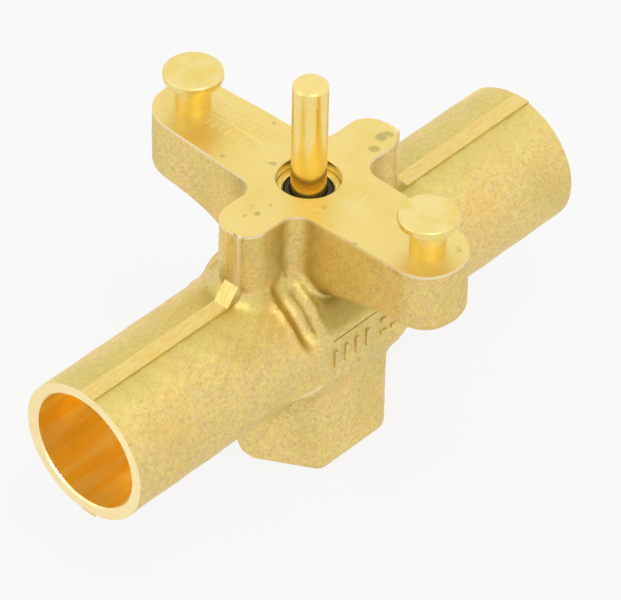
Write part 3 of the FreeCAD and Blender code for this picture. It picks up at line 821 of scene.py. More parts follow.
# ---------------------------------------------------------------- the forging
@dataclass(frozen=True)
class ForgedShape:
    """Raw forging as a distance field in millimetres; the flat faces are cut later.

    Each wave of the wear has its rates along x, y and z, and its start, in radians.
    """

    # Stubs, drum and the groove between them
    pipe_z: float = 28.8
    stub_r: float = 13.45
    stub_start: float = 15.6
    shoulder_round: float = 2.0
    groove_round: float = 2.0
    drum_r: float = 15.5
    drum_half_x: float = 9.3
    drum_round: float = 2.2
    bead_x: float = 14.7
    bead_rise: float = 0.45
    bead_width: float = 1.0
    flat_round: float = 0.25
    # Side pads
    pad_y: float = 14.6
    pad_half_h: float = 5.0
    pad_half_x: float = 14.0
    pad_ramp: float = 6.0
    pad_ramp_drop: float = 2.3
    pad_round: float = 0.35
    pad_top_round: float = 3.0
    pad_blend: float = 0.4
    pad_top_blend: float = 2.2
    pad_blend_start: float = 10.0
    pad_blend_run: float = 2.0
    pad_blend_height: float = 4.0
    least_blend: float = 0.02
    # Foot
    foot_flat_y: float = 12.45
    foot_flat_60: float = 13.5
    foot_trim_x: float = 14.8
    foot_corner_round: float = 1.5
    foot_edge_round: float = 2.5
    foot_blend: float = 1.2
    # Arms and their gussets
    root_half: float = 8.4
    tip_half: float = 7.0
    tip_round: float = 6.95
    arm_depth: float = 13.2
    arm_under_round: float = 2.2
    gusset_depth: float = 15.8
    gusset_y: float = 13.2
    gusset_end_y: float = 20.5
    gusset_round: float = 1.0
    neck_half_y: float = 10.0
    # Lobes and the neck's base
    lobe_half: float = 4.8
    lobe_end_x: float = 20.2
    lobe_round: float = 4.5
    corner_round: float = 3.3
    base_round: float = 2.4
    base_round_inner: float = 1.1
    base_inner_x: float = 9.0
    base_outer_x: float = 12.5
    # Ends of the part
    top_z: float = 56.57
    arm_tip_y: float = 34.6
    stub_end_x: float = 55.4
    spare: float = 2.0
    # Wear of the die
    wear_depth: float = 0.16
    wear_low_z: float = 1.5
    wear_run: float = 3.0
    wear_pad_gap: float = 1.5
    wear_pad_run: float = 0.8
    wear_pad_above: float = 1.0
    slow_share: float = 0.6
    slow_waves: Waves = ((0.62, 0.0, 0.31, 1.0), (0.0, 0.55, -0.27, 0.4))
    quick_waves: Waves = ((1.45, -0.8, 0.0, 2.1), (0.0, 1.1, 1.3, 0.0))

    def groove(self) -> tuple[float, float]:
        """Finds the centre of the groove's arc, tangent to the stub and to the drum.

        Returns:
            Its x and its radius.
        """
        stub = np.array([self.stub_start, self.stub_r - self.shoulder_round])
        drum = np.array([self.drum_half_x, self.drum_r - self.drum_round])
        reach_stub = self.shoulder_round + self.groove_round
        reach_drum = self.drum_round + self.groove_round
        between = stub - drum
        length = float(np.linalg.norm(between))
        along = (reach_drum ** 2 - reach_stub ** 2 + length ** 2) / (2 * length)
        outward = np.array([-between[1], between[0]]) / length
        rise = math.sqrt(reach_drum ** 2 - along ** 2)
        return tuple(drum + between / length * along + outward * rise)

    def barrel(self, at: Place) -> np.ndarray:
        """Gives the stubs, the drum between them and the groove on each side of it.

        Args:
            at: Distances along the pipe and across it, and heights over its axis.

        Returns:
            Their distance field.
        """
        x, y, z = at
        groove_x, groove_mid = self.groove()
        share = self.drum_round / (self.drum_round + self.groove_round)
        drum_meet = self.drum_half_x + (groove_x - self.drum_half_x) * share
        share = self.shoulder_round / (self.shoulder_round + self.groove_round)
        stub_meet = self.stub_start + (groove_x - self.stub_start) * share
        places = [x <= self.drum_half_x, x <= drum_meet, x <= stub_meet, x <= self.stub_start]
        rounds = ((self.drum_half_x, self.drum_round, self.drum_r - self.drum_round, 1),
                  (groove_x, self.groove_round, groove_mid, -1),
                  (self.stub_start, self.shoulder_round, self.stub_r - self.shoulder_round, 1))
        levels, leans = [self.drum_r], [1.0]
        for centre, turn, middle, side in rounds:
            rise = np.sqrt(np.maximum(turn ** 2 - (x - centre) ** 2, TINY))
            levels.append(middle + side * rise)
            leans.append(rise / turn)
        level = np.select(places, levels, self.stub_r)
        level = level + self.bead_rise * np.exp(-((x - self.bead_x) / self.bead_width) ** 2)
        skin = (np.hypot(y, z) - level) * np.select(places, leans, 1.0)
        skin = np.maximum(skin, x - self.stub_end_x - self.spare)
        return round_common(skin, y - self.pad_y, self.flat_round)

    def pads(self, at: Place) -> np.ndarray:
        """Gives the flat pads on both sides, run out over the stubs.

        Args:
            at: Distances along the pipe and across it, and heights over its axis.

        Returns:
            Their distance field.
        """
        x, y, z = at
        run = math.hypot(self.pad_ramp, self.pad_ramp_drop)
        ramp = ((x - self.pad_half_x) * self.pad_ramp_drop + (y - self.pad_y) * self.pad_ramp) / run
        plan = np.maximum(np.maximum(y - self.pad_y, ramp), x - self.pad_half_x - self.pad_ramp)
        upper = round_common(plan, z - self.pad_half_h, self.pad_top_round)
        return np.where(z > 0, upper, round_common(plan, -z - self.pad_half_h, self.pad_round))

    def trunk(self, at: Place) -> np.ndarray:
        """Gives the barrel with its pads blended in.

        Args:
            at: Distances along the pipe and across it, and heights over its axis.

        Returns:
            Their distance field.
        """
        x, y, z = at
        outer = np.clip((x - self.pad_blend_start) / self.pad_blend_run, 0, 1)
        upper = np.clip(z / self.pad_blend_height + 0.5, 0, 1)
        blend = self.pad_blend + (self.pad_top_blend - self.pad_blend) * upper
        joined = fillet_union(self.barrel(at), self.pads(at), self.least_blend + blend * outer)
        return np.maximum(joined, y - self.pad_y)

    def foot(self, at: Place) -> np.ndarray:
        """Gives the hexagonal foot with rounded edges and two trimmed corners.

        Args:
            at: Distances along the pipe and across it, and heights over its axis.

        Returns:
            Their distance field.
        """
        x, y, z = at
        slope = math.radians(30)
        slanted = x * math.cos(slope) + y * math.sin(slope) - self.foot_flat_60
        plan = round_common(y - self.foot_flat_y, slanted, self.foot_corner_round)
        plan = round_common(plan, x - self.foot_trim_x, self.foot_corner_round / 2)
        side = round_common(plan, -z - self.pipe_z, self.foot_edge_round)
        return np.maximum(side, z)

    def lobes(self, at: Place) -> np.ndarray:
        """Gives the two rounded lobes of the neck, along the pipe.

        Args:
            at: Distances along the pipe and across it, and heights over its axis.

        Returns:
            Their distance field.
        """
        x, y, z = at
        across = x - self.lobe_end_x + self.lobe_round
        aside = y - self.lobe_half + self.lobe_round
        plan = np.hypot(np.maximum(across, 0), np.maximum(aside, 0))
        plan = plan + np.minimum(np.maximum(across, aside), 0) - self.lobe_round
        return np.maximum(plan, -z)

    def arms(self, at: Place) -> np.ndarray:
        """Gives both tapered arms, their gussets and the block of the neck under them.

        Args:
            at: Distances along the pipe and across it, and heights over its axis.

        Returns:
            Their distance field.
        """
        x, y, z = at
        top = self.top_z - self.pipe_z
        taper = (self.root_half - self.tip_half) / (self.arm_tip_y - self.lobe_half)
        half = self.root_half - taper * (y - self.lobe_half)
        centre_y = self.arm_tip_y - self.tip_round
        centre_x = self.root_half - taper * (centre_y - self.lobe_half) - self.tip_round
        end = np.hypot(np.maximum(x - centre_x, 0), y - centre_y) - self.tip_round
        plan = np.where(y > centre_y, end, (x - half) * math.cos(math.atan(taper)))
        arm_low = top - self.arm_depth
        gusset_low = top - self.gusset_depth
        rise = arm_low - gusset_low
        run = self.gusset_end_y - self.gusset_y
        slanted = (rise * (y - self.gusset_y) - run * (z - gusset_low)) / math.hypot(rise, run)
        gusset = np.maximum(gusset_low - z, slanted)
        side = fillet_union(arm_low - z, gusset, self.gusset_round)
        side = fillet_union(side, y - self.neck_half_y, self.base_round)
        return round_common(plan, side, self.arm_under_round)

    def distance(self, points: np.ndarray) -> np.ndarray:
        """Gives the distance to the forging's skin, below zero inside.

        Args:
            points: One row of x, y, z for each point, in millimetres.

        Returns:
            One distance for each point.
        """
        at = (np.abs(points[:, 0]), np.abs(points[:, 1]), points[:, 2] - self.pipe_z)
        x, _, z = at
        neck = fillet_union(self.lobes(at), self.arms(at), self.corner_round)
        neck = np.maximum(neck, -z)
        outer = np.clip((x - self.base_inner_x) / (self.base_outer_x - self.base_inner_x), 0, 1)
        base = self.base_round_inner + (self.base_round - self.base_round_inner) * outer
        upper = fillet_union(neck, self.trunk(at), base)
        whole = fillet_union(upper, self.foot(at), self.foot_blend)
        return whole + self.wear(points)

    def wear(self, points: np.ndarray) -> np.ndarray:
        """Gives how far the worn die leaves the skin inside its true place.

        Args:
            points: One row of x, y, z for each point, in millimetres.

        Returns:
            One depth for each point, never below zero.
        """
        x, y, z = points.T
        slow, quick = (
            np.prod([np.sin(along * x + across * y + up * z + start)
                     for along, across, up, start in waves], axis=0)
            for waves in (self.slow_waves, self.quick_waves))
        above_foot = np.clip((z - self.wear_low_z) / self.wear_run, 0, 1)
        off_pads = np.clip((self.pad_y + self.wear_pad_gap - np.abs(y)) / self.wear_pad_run, 0, 1)
        beside_pads = np.abs(z - self.pipe_z) < self.pad_half_h + self.wear_pad_above
        off_pads = np.where(beside_pads, 1 - off_pads, 1)
        depth = (1 + self.slow_share * slow + (1 - self.slow_share) * quick) / 2
        return self.wear_depth * above_foot * off_pads * depth

    def slope(self, points: np.ndarray, step: float = 0.02) -> np.ndarray:
        """Gives the outward direction of the skin at each point.

        Args:
            points: One row of x, y, z for each point, in millimetres.
            step: Distance between the samples.

        Returns:
            One vector of length 1 for each point.
        """
        out = np.empty_like(points)
        for axis in range(3):
            shift = np.zeros(3)
            shift[axis] = step
            out[:, axis] = self.distance(points + shift) - self.distance(points - shift)
        return out / np.maximum(np.linalg.norm(out, axis=1, keepdims=True), 1e-9)


@dataclass(frozen=True)
class FieldMesher:
    """Turns a distance field into a closed mesh of even quads."""

    step: float = 0.56
    margin: float = 3.0
    rounds: int = 3

    def sampled(self, shape: ForgedShape) -> tuple[np.ndarray, np.ndarray]:
        """Samples the field on a grid that holds the whole forging.

        Args:
            shape: The field.

        Returns:
            The values, and the grid's lowest corner.
        """
        reach = np.array([shape.stub_end_x, shape.arm_tip_y, 0.0]) + self.margin
        low = -reach
        high = np.array([reach[0], reach[1], shape.top_z + self.margin])
        counts = np.ceil((high - low) / self.step).astype(int) + 1
        axes = [low[k] + self.step * np.arange(counts[k]) for k in range(3)]
        values = np.empty(tuple(counts), np.float32)
        plane = np.stack(np.meshgrid(axes[1], axes[2], indexing="ij"), -1).reshape(-1, 2)
        for i, x in enumerate(axes[0]):
            points = np.column_stack([np.full(len(plane), x), plane])
            values[i] = np.maximum(shape.distance(points),
                                   plane[:, 1] - shape.top_z - shape.spare).reshape(counts[1:])
        return values, low

    @staticmethod
    def window(cuts: dict[int, slice]) -> tuple[slice, ...]:
        """Gives the index that cuts a grid along some of its axes."""
        return tuple(cuts.get(axis, slice(None)) for axis in range(3))

    def mesh(self, shape: ForgedShape) -> tuple[np.ndarray, np.ndarray]:
        """Meshes the field's skin.

        Args:
            shape: The field.

        Returns:
            The points in millimetres and the quads.
        """
        values, low = self.sampled(shape)
        inside = values < 0
        cells = tuple(n - 1 for n in values.shape)
        total = np.zeros(cells + (3,), np.float32)
        count = np.zeros(cells, np.float32)
        crossings = []
        for axis in range(3):
            first, last = self.window({axis: slice(0, -1)}), self.window({axis: slice(1, None)})
            a, b = values[first], values[last]
            cross = inside[first] != inside[last]
            share = np.where(cross, a / np.where(cross, a - b, 1), 0)
            crossings.append((cross, inside[first]))
            u, v = (axis + 1) % 3, (axis + 2) % 3
            for du, dv in ((0, 0), (0, 1), (1, 0), (1, 1)):
                part = self.window({u: slice(du, du + cells[u]), v: slice(dv, dv + cells[v])})
                hit = cross[part]
                total[..., axis] += share[part]
                total[..., u] += du * hit
                total[..., v] += dv * hit
                count += hit
        active = count > 0
        number = np.full(cells, -1, np.int64)
        number[active] = np.arange(active.sum())
        corner = np.argwhere(active)
        points = low + self.step * (corner + total[active] / count[active][:, None])
        return self.snapped(shape, points), self.quads(crossings, number)

    def quads(self, crossings: list, number: np.ndarray) -> np.ndarray:
        """Sets a quad across each grid edge that the skin crosses.

        Args:
            crossings: For each axis, which edges cross the skin, and which start inside.
            number: Number of each cell's point, or -1.

        Returns:
            The quads, facing outwards.
        """
        cells = number.shape
        quads = []
        for axis, (cross, low_inside) in enumerate(crossings):
            u, v = (axis + 1) % 3, (axis + 2) % 3
            at = np.argwhere(cross)
            keep = (at[:, u] > 0) & (at[:, v] > 0) & (at[:, u] < cells[u]) & (at[:, v] < cells[v])
            at = at[keep]
            outward = low_inside[tuple(at.T)]
            ring = []
            for du, dv in ((-1, -1), (0, -1), (0, 0), (-1, 0)):
                cell = at.copy()
                cell[:, u] += du
                cell[:, v] += dv
                ring.append(number[tuple(cell.T)])
            ring = np.stack(ring, 1)
            ring[~outward] = ring[~outward][:, ::-1]
            quads.append(ring)
        return np.vstack(quads)

    def snapped(self, shape: ForgedShape, points: np.ndarray) -> np.ndarray:
        """Moves the points onto the skin itself.

        Args:
            shape: The field.
            points: Points close to the skin.

        Returns:
            The moved points.
        """
        below = points[:, 2] < shape.top_z + shape.spare / 2
        for _ in range(self.rounds):
            near = points[below]
            step = shape.distance(near)[:, None] * shape.slope(near)
            points[below] = near - np.clip(step, -self.step, self.step)
        return points


@dataclass(frozen=True)
class Cutter:
    """Closed tool solids, in millimetres, that machine the forging."""

    sides: int = 96
    cell: float = 7.0

    def box(self, name: str, low: Triple, high: Triple) -> bpy.types.Object:
        """Makes a box.

        Args:
            name: Name of the tool.
            low: Lowest corner.
            high: Highest corner.

        Returns:
            The tool object.
        """
        middle, half = (low[1] + high[1]) / 2, (high[1] - low[1]) / 2
        return self.strip(name, (low[0], middle, low[2], high[2]),
                          (high[0], middle, low[2], high[2]), half)

    def plate(self, name: str, low: Triple, high: Triple, axis: int) -> bpy.types.Object:
        """Makes a box whose sides across one axis are divided into small cells.

        Args:
            name: Name of the tool.
            low: Lowest corner.
            high: Highest corner.
            axis: Number of the axis across which the cells lie.

        Returns:
            The tool object.
        """
        work = bmesh.new()
        bmesh.ops.create_cube(work, size=1.0)
        middle = (Vector(low) + Vector(high)) / 2 * MM
        span = (Vector(high) - Vector(low)) * MM
        for vertex in work.verts:
            vertex.co = Vector(middle[k] + vertex.co[k] * span[k] for k in range(3))
        for other in (k for k in range(3) if k != axis):
            direction = Vector(float(k == other) for k in range(3))
            for i in range(1, round(span[other] / (self.cell * MM))):
                place = direction * (low[other] + i * self.cell) * MM
                bmesh.ops.bisect_plane(work, geom=work.verts[:] + work.edges[:] + work.faces[:],
                                       plane_co=place, plane_no=direction)
        mesh = bpy.data.meshes.new(name)
        work.to_mesh(mesh)
        work.free()
        return linked(name, mesh)

    def strip(self, name: str, starts: Four, ends: Four, half: float) -> bpy.types.Object:
        """Makes a bar of even width whose middle runs slantwise from one end to the other.

        Args:
            name: Name of the tool.
            starts: x, middle y, lowest z and highest z at one end.
            ends: The same at the other end.
            half: Half of its width.

        Returns:
            The tool object.
        """
        a, b = sorted((starts, ends))
        points = [(x, y + side * half, z) for x, y, low, high in (a, b)
                  for side in (-1, 1) for z in (low, high)]
        faces = [(0, 1, 3, 2), (4, 6, 7, 5), (0, 4, 5, 1), (2, 3, 7, 6), (0, 2, 6, 4), (1, 5, 7, 3)]
        return mesh_object(name, points, faces)

    def prism(self, name: str, outline: Outline, low: float, high: float) -> bpy.types.Object:
        """Makes a prism along Y from a convex outline in X and Z.

        Args:
            name: Name of the tool.
            outline: Corners (x, z), clockwise seen from -Y.
            low: Its lowest y.
            high: Its highest y.

        Returns:
            The tool object.
        """
        count = len(outline)
        points = [(x, y, z) for y in (low, high) for x, z in outline]
        faces = [tuple(range(count)), tuple(range(2 * count - 1, count - 1, -1))]
        for i in range(count):
            j = (i + 1) % count
            faces.append((i, i + count, j + count, j))
        return mesh_object(name, points, faces)

    def turned(self, name: str, outline: Outline, centre: Vector, axis: Vector) -> bpy.types.Object:
        """Makes a solid of revolution.

        Args:
            name: Name of the tool.
            outline: (radius, height) pairs from one end of the axis to the other.
            centre: Where height 0 is.
            axis: Direction of the axis.

        Returns:
            The tool object.
        """
        turn = np.array(axis.normalized().to_track_quat("Z", "Y").to_matrix())
        angles = np.arange(self.sides) * (2 * math.pi / self.sides)
        rows = [np.column_stack([r * np.cos(angles), r * np.sin(angles),
                                 np.full(self.sides, h)]) for r, h in outline]
        points = np.vstack(rows) @ turn.T + np.array(centre)
        faces = [tuple(range(self.sides - 1, -1, -1))]
        for k in range(len(outline) - 1):
            for i in range(self.sides):
                j = (i + 1) % self.sides
                a, b = k * self.sides, (k + 1) * self.sides
                faces.append((a + i, a + j, b + j, b + i))
        last = (len(outline) - 1) * self.sides
        faces.append(tuple(range(last, last + self.sides)))
        return mesh_object(name, points, faces)


@dataclass(frozen=True)
class MarkRow:
    """One row of even bars, in millimetres."""

    start: Triple
    step: Triple
    bar: Triple
    count: int

    def rig(self) -> NodeRig:
        """Builds the tree: a line of points with a bar on each.

        Returns:
            The rig.
        """
        rig = NodeRig("mark_row", count="Int", start="Vector", step="Vector", bar="Vector")
        given = rig.given
        line = rig.add("MeshLine", count=given["count"], start_location=given["start"],
                       offset=given["step"])
        bar = rig.add("MeshCube", size=given["bar"])
        return rig.close(rig.add("InstanceOnPoints", points=line, instance=bar))

    def build(self, name: str) -> bpy.types.Object:
        """Makes the row as one plain mesh object.

        Args:
            name: Name of the row.

        Returns:
            The row.
        """
        seed = mesh_object(name + "_seed", [(0, 0, 0)], [])
        start, step, bar = (tuple(v * MM for v in row) for row in (self.start, self.step, self.bar))
        return self.rig().grow(seed, name, count=self.count, start=start, step=step, bar=bar)


@dataclass(frozen=True)
class Marks:
    """Plain gauge marks: engraved scales on the arms and raised bars on the pads."""

    depth: float = 0.12
    proud: float = 0.3
    stroke: float = 0.32
    pitch: float = 1.5

    def engraved(self, shape: ForgedShape) -> list[bpy.types.Object]:
        """Makes the tools for the scales on both arms.

        Args:
            shape: The forging.

        Returns:
            The tool objects.
        """
        z = shape.top_z
        deep = 2 * self.depth
        step = (0.0, self.pitch, 0.0)
        rows = (MarkRow((3.2, 11.6, z), step, (2.2, self.stroke, deep), 9),
                MarkRow((-0.9, 13.8, z), step, (2.2, self.stroke, deep), 7),
                MarkRow((1.15, 17.6, z), (0.0, 0.0, 0.0), (self.stroke, 12.6, deep), 1),
                MarkRow((2.6, -13.6, z), step, (2.4, self.stroke, deep), 4),
                MarkRow((2.6, -20.4, z), (0.0, 0.0, 0.0), (3.0, self.stroke, deep), 1))
        return [row.build(f"arm_scale_{k}") for k, row in enumerate(rows)]

    def raised(self, shape: ForgedShape) -> list[bpy.types.Object]:
        """Makes the bars on both pads.

        Args:
            shape: The forging.

        Returns:
            The tool objects.
        """
        tools = []
        for side in (-1, 1):
            y = side * shape.pad_y
            thick = 2 * self.proud
            rows = (MarkRow((-8.0, y, shape.pipe_z), (2.7, 0.0, 0.0), (0.85, thick, 3.6), 4),
                    MarkRow((4.2, y, shape.pipe_z + 1.4), (2.7, 0.0, 0.0), (1.5, thick, 0.8), 3),
                    MarkRow((4.2, y, shape.pipe_z - 1.4), (2.7, 0.0, 0.0), (1.5, thick, 0.8), 3))
            tools += [row.build(f"pad_bar_{side}_{k}") for k, row in enumerate(rows)]
        return tools


@dataclass
class ValveBody:
    """The one-piece forging with its machined faces, bores and trimmed flash."""

    shape: ForgedShape = field(default_factory=ForgedShape)
    mesher: FieldMesher = field(default_factory=FieldMesher)
    cutter: Cutter = field(default_factory=Cutter)
    # Sockets and ports
    socket_r: float = 11.175
    socket_depth: float = 19.0
    port_r: float = 9.4
    port_stop_x: float = 12.3
    mouth_chamfer: float = 0.3
    # Lips over the flats
    lip_low: float = 4.7
    lip_shift: tuple[float, float] = (0.06, 0.04)
    lip_depth: float = 2.3
    nick_width: float = 0.55
    nick_depth: float = 0.4
    lip_half_x: float = 8.6
    lip_run_out: float = 1.6
    lip_sink: float = 0.7
    lip_sections: int = 17
    lip_high_deg: float = 60.0
    lip_steps: int = 14
    # Trimmed flash
    flash_half_w: float = 1.6
    flash_mouth_y: float = -0.95
    flash_neck_y: float = -1.15
    flash_proud: float = 0.12
    flash_sink: float = 0.5
    flash_lobe_x: float = 20.35
    flash_web_drop: float = 11.0
    flash_web_reach: float = 4.2
    # Gland, seat, chambers and gallery
    gland_r: float = 5.67
    gland_floor_z: float = 42.56
    gland_chamfer: float = 0.25
    stem_hole_r: float = 3.5
    seat_top_z: float = 27.8
    seat_under_z: float = 24.3
    seat_r: float = 6.3
    upper_chamber_r: float = 8.4
    upper_chamber_top_z: float = 38.2
    lower_chamber_r: float = 9.0
    plug_thread_r: float = 10.0
    plug_thread_top_z: float = 5.2
    gallery_r: float = 6.2
    gallery_x: float = 18.3
    gallery_drop: float = 11.5
    gallery_half_y: float = 6.3
    gallery_roof_z: float = 34.2
    # Pin holes
    pin_y: float = 27.6
    pin_tail_r: float = 2.6
    pin_tail_l: float = 7.5
    # Room of the tools past the part
    over: float = 1.0
    flange_room: float = 9.0
    face_low_z: float = 0.5
    face_room: float = 5.0
    # Mesh, sorting of its faces and reach of its traits
    sliver: float = 0.002
    slack: float = 0.05
    hair: float = 0.02
    deep: float = 0.5
    level_cos: float = 0.99
    mouth_cos: float = 0.3
    crease_deg: float = 32.0
    near_reach: float = 1.6
    far_reach: float = 11.0
    marks: Marks = field(default_factory=Marks)

    def build(self, finishes: Finishes) -> bpy.types.Object:
        """Builds, machines and dresses the body.

        Args:
            finishes: The finishes.

        Returns:
            The finished body.
        """
        points, quads = self.mesher.mesh(self.shape)
        blank = mesh_object("forging_blank", points, quads)
        added = self.flash_tools() + self.lips() + self.marks.raised(self.shape)
        taken = self.machining_tools() + self.nicks() + self.marks.engraved(self.shape)
        for tool in added:
            self.use(blank, tool, "UNION")
        for tool in taken:
            self.use(blank, tool, "DIFFERENCE")
        body = baked(blank, "valve_body_forging")
        for tool in added + taken:
            bpy.data.objects.remove(tool)
        self.mend(body)
        self.dress(body, finishes)
        return placed(body, Body.VALVE, Slot.FORGED, "valve_body")

    def mend(self, body: bpy.types.Object) -> None:
        """Takes out slivers and cuts large faces into triangles.

        Args:
            body: The machined body.
        """
        work = bmesh.new()
        work.from_mesh(body.data)
        bmesh.ops.dissolve_degenerate(work, dist=self.sliver * MM, edges=work.edges[:])
        large = [face for face in work.faces if len(face.verts) > 4]
        bmesh.ops.triangulate(work, faces=large, ngon_method="BEAUTY")
        work.to_mesh(body.data)
        work.free()

    def use(self, blank: bpy.types.Object, tool: bpy.types.Object, operation: str) -> None:
        """Adds one tool to the blank's stack.

        Args:
            blank: The object that is machined.
            tool: The tool solid.
            operation: UNION or DIFFERENCE.
        """
        modifier = blank.modifiers.new(tool.name, "BOOLEAN")
        modifier.operation = operation
        modifier.solver = "MANIFOLD"
        modifier.object = tool

    def flash_middle(self, x: np.ndarray | float) -> np.ndarray | float:
        """Gives y of the flash line's middle at this x; it drifts from mouth to neck.

        Args:
            x: Distance along the pipe.

        Returns:
            y of the middle.
        """
        share = np.clip((np.abs(x) - self.shape.stub_start)
                        / (self.shape.stub_end_x - self.shape.stub_start), 0, 1)
        return self.flash_neck_y + (self.flash_mouth_y - self.flash_neck_y) * share

    def flash_tools(self) -> list[bpy.types.Object]:
        """Makes the trimmed flash on the stubs and up the lobes.

        Returns:
            The tool objects.
        """
        s = self.shape
        top = s.pipe_z + s.stub_r + self.flash_proud
        inner = s.pipe_z + self.socket_r + self.flash_sink
        web_z = s.top_z - self.flash_web_drop
        first, last = s.stub_start - self.over, s.stub_end_x + self.over
        low_y = self.flash_neck_y - self.flash_half_w
        high_y = self.flash_neck_y + self.flash_half_w
        tools = []
        for side in (-1, 1):
            for name, low, high in (("top", inner, top),
                                    ("low", 2 * s.pipe_z - top, 2 * s.pipe_z - inner)):
                tools.append(self.cutter.strip(
                    f"flash_{name}_{side}",
                    (side * first, self.flash_middle(first), low, high),
                    (side * last, self.flash_middle(last), low, high), self.flash_half_w))
            high = s.top_z + self.over
            outline = [(side * s.stub_start, inner), (side * s.stub_start, high),
                       (side * self.flash_lobe_x, high), (side * self.flash_lobe_x, web_z),
                       (side * (self.flash_lobe_x + self.flash_web_reach), inner)]
            tools.append(self.cutter.prism(f"flash_web_{side}", outline[::side], low_y, high_y))
        return tools

    def lips(self) -> list[bpy.types.Object]:
        """Makes the low lips on the drum that end in an edge over each flat.

        Returns:
            The tool objects.
        """
        s = self.shape
        end = self.lip_half_x + self.lip_run_out
        sections = [(-end, self.lip_sink), (end, self.lip_sink)]
        sections[1:1] = [(x, 0.0) for x in np.linspace(-self.lip_half_x, self.lip_half_x,
                                                       self.lip_sections)]
        inner = s.drum_r - self.lip_depth
        edge, high = self.lip_low + self.lip_shift[1], math.radians(self.lip_high_deg)
        tools = []
        for side in (-1, 1):
            points = []
            for x, sink in sections:
                radius = s.drum_r - sink
                bent = [(radius, angle)
                        for angle in np.linspace(math.asin(edge / radius), high, self.lip_steps)]
                bent += [(inner, high), (inner, math.asin(edge / inner))]
                points += [(x, side * (self.lip_shift[0] + r * math.cos(angle)),
                            s.pipe_z - self.lip_shift[1] + r * math.sin(angle))
                           for r, angle in bent]
            count = len(points) // len(sections)
            faces = [(k * count + i, k * count + (i + 1) % count,
                      (k + 1) * count + (i + 1) % count, (k + 1) * count + i)
                     for k in range(len(sections) - 1) for i in range(count)]
            faces += [tuple(range(count))[::-1], tuple(range(len(points) - count, len(points)))]
            tools.append(mesh_object(f"drum_lip_{side}", points,
                                     [face[::side] for face in faces]))
        return tools

    def nicks(self) -> list[bpy.types.Object]:
        """Makes the narrow tool mark that runs under each lip.

        Returns:
            The tool objects.
        """
        s = self.shape
        edge = s.pipe_z + self.lip_low
        reach = self.lip_half_x
        tools = []
        for side in (-1, 1):
            near, far = sorted((side * (s.pad_y - self.nick_depth), side * (s.drum_r + self.over)))
            tools.append(self.cutter.box(f"lip_nick_{side}", (-reach, near, edge - self.nick_width),
                                         (reach, far, edge)))
        return tools

    def machining_tools(self) -> list[bpy.types.Object]:
        """Makes the tools for the flat faces, the ports, the chambers, the gland and the pins.

        Returns:
            The tool objects.
        """
        s, over, cutter = self.shape, self.over, self.cutter
        far = s.stub_end_x + 2 * s.spare
        wide = s.arm_tip_y + 2 * s.spare
        tools = [cutter.plate("flange_face", (-far, -wide, s.top_z),
                              (far, wide, s.top_z + self.flange_room), 2)]
        depth = s.stub_end_x - self.socket_depth
        for side in (-1, 1):
            near, away = sorted((side * s.stub_end_x, side * far))
            tools.append(cutter.plate(f"stub_face_{side}", (near, -wide, self.face_low_z),
                                      (away, wide, s.top_z + self.face_room), 0))
            port = [(self.port_r, self.port_stop_x), (self.port_r, depth), (self.socket_r, depth),
                    (self.socket_r, s.stub_end_x - self.mouth_chamfer),
                    (self.socket_r + self.mouth_chamfer + over, s.stub_end_x + over)]
            tools.append(cutter.turned(f"port_{side}", port, Vector((0, 0, s.pipe_z)),
                                       Vector((side, 0, 0))))
        stem_way = [(self.seat_r, self.seat_under_z - over), (self.seat_r, self.seat_top_z),
                    (self.upper_chamber_r, self.seat_top_z),
                    (self.upper_chamber_r, self.upper_chamber_top_z),
                    (self.stem_hole_r, self.upper_chamber_top_z),
                    (self.stem_hole_r, self.gland_floor_z), (self.gland_r, self.gland_floor_z),
                    (self.gland_r, s.top_z - self.gland_chamfer),
                    (self.gland_r + self.gland_chamfer + over, s.top_z + over)]
        plug_way = [(self.plug_thread_r, -over), (self.plug_thread_r, self.plug_thread_top_z),
                    (self.lower_chamber_r, self.plug_thread_top_z),
                    (self.lower_chamber_r, self.seat_under_z)]
        pin_hole = [(self.pin_tail_r, s.top_z - self.pin_tail_l),
                    (self.pin_tail_r, s.top_z + over)]
        fall = Vector((-self.gallery_x, 0, -self.gallery_drop))
        gallery = [(self.gallery_r, 0), (self.gallery_r, fall.length)]
        up = Vector((0, 0, 1))
        tools += [cutter.turned("stem_way", stem_way, Vector((0, 0, 0)), up),
                  cutter.turned("plug_way", plug_way, Vector((0, 0, 0)), up),
                  cutter.turned("lower_gallery", gallery,
                                Vector((self.gallery_x, 0, s.pipe_z)), fall),
                  cutter.box("upper_gallery",
                             (-self.port_stop_x - over, -self.gallery_half_y, self.seat_top_z),
                             (0, self.gallery_half_y, self.gallery_roof_z))]
        tools += [cutter.turned(f"pin_hole_{side}", pin_hole, Vector((0, side * self.pin_y, 0)), up)
                  for side in (-1, 1)]
        return tools

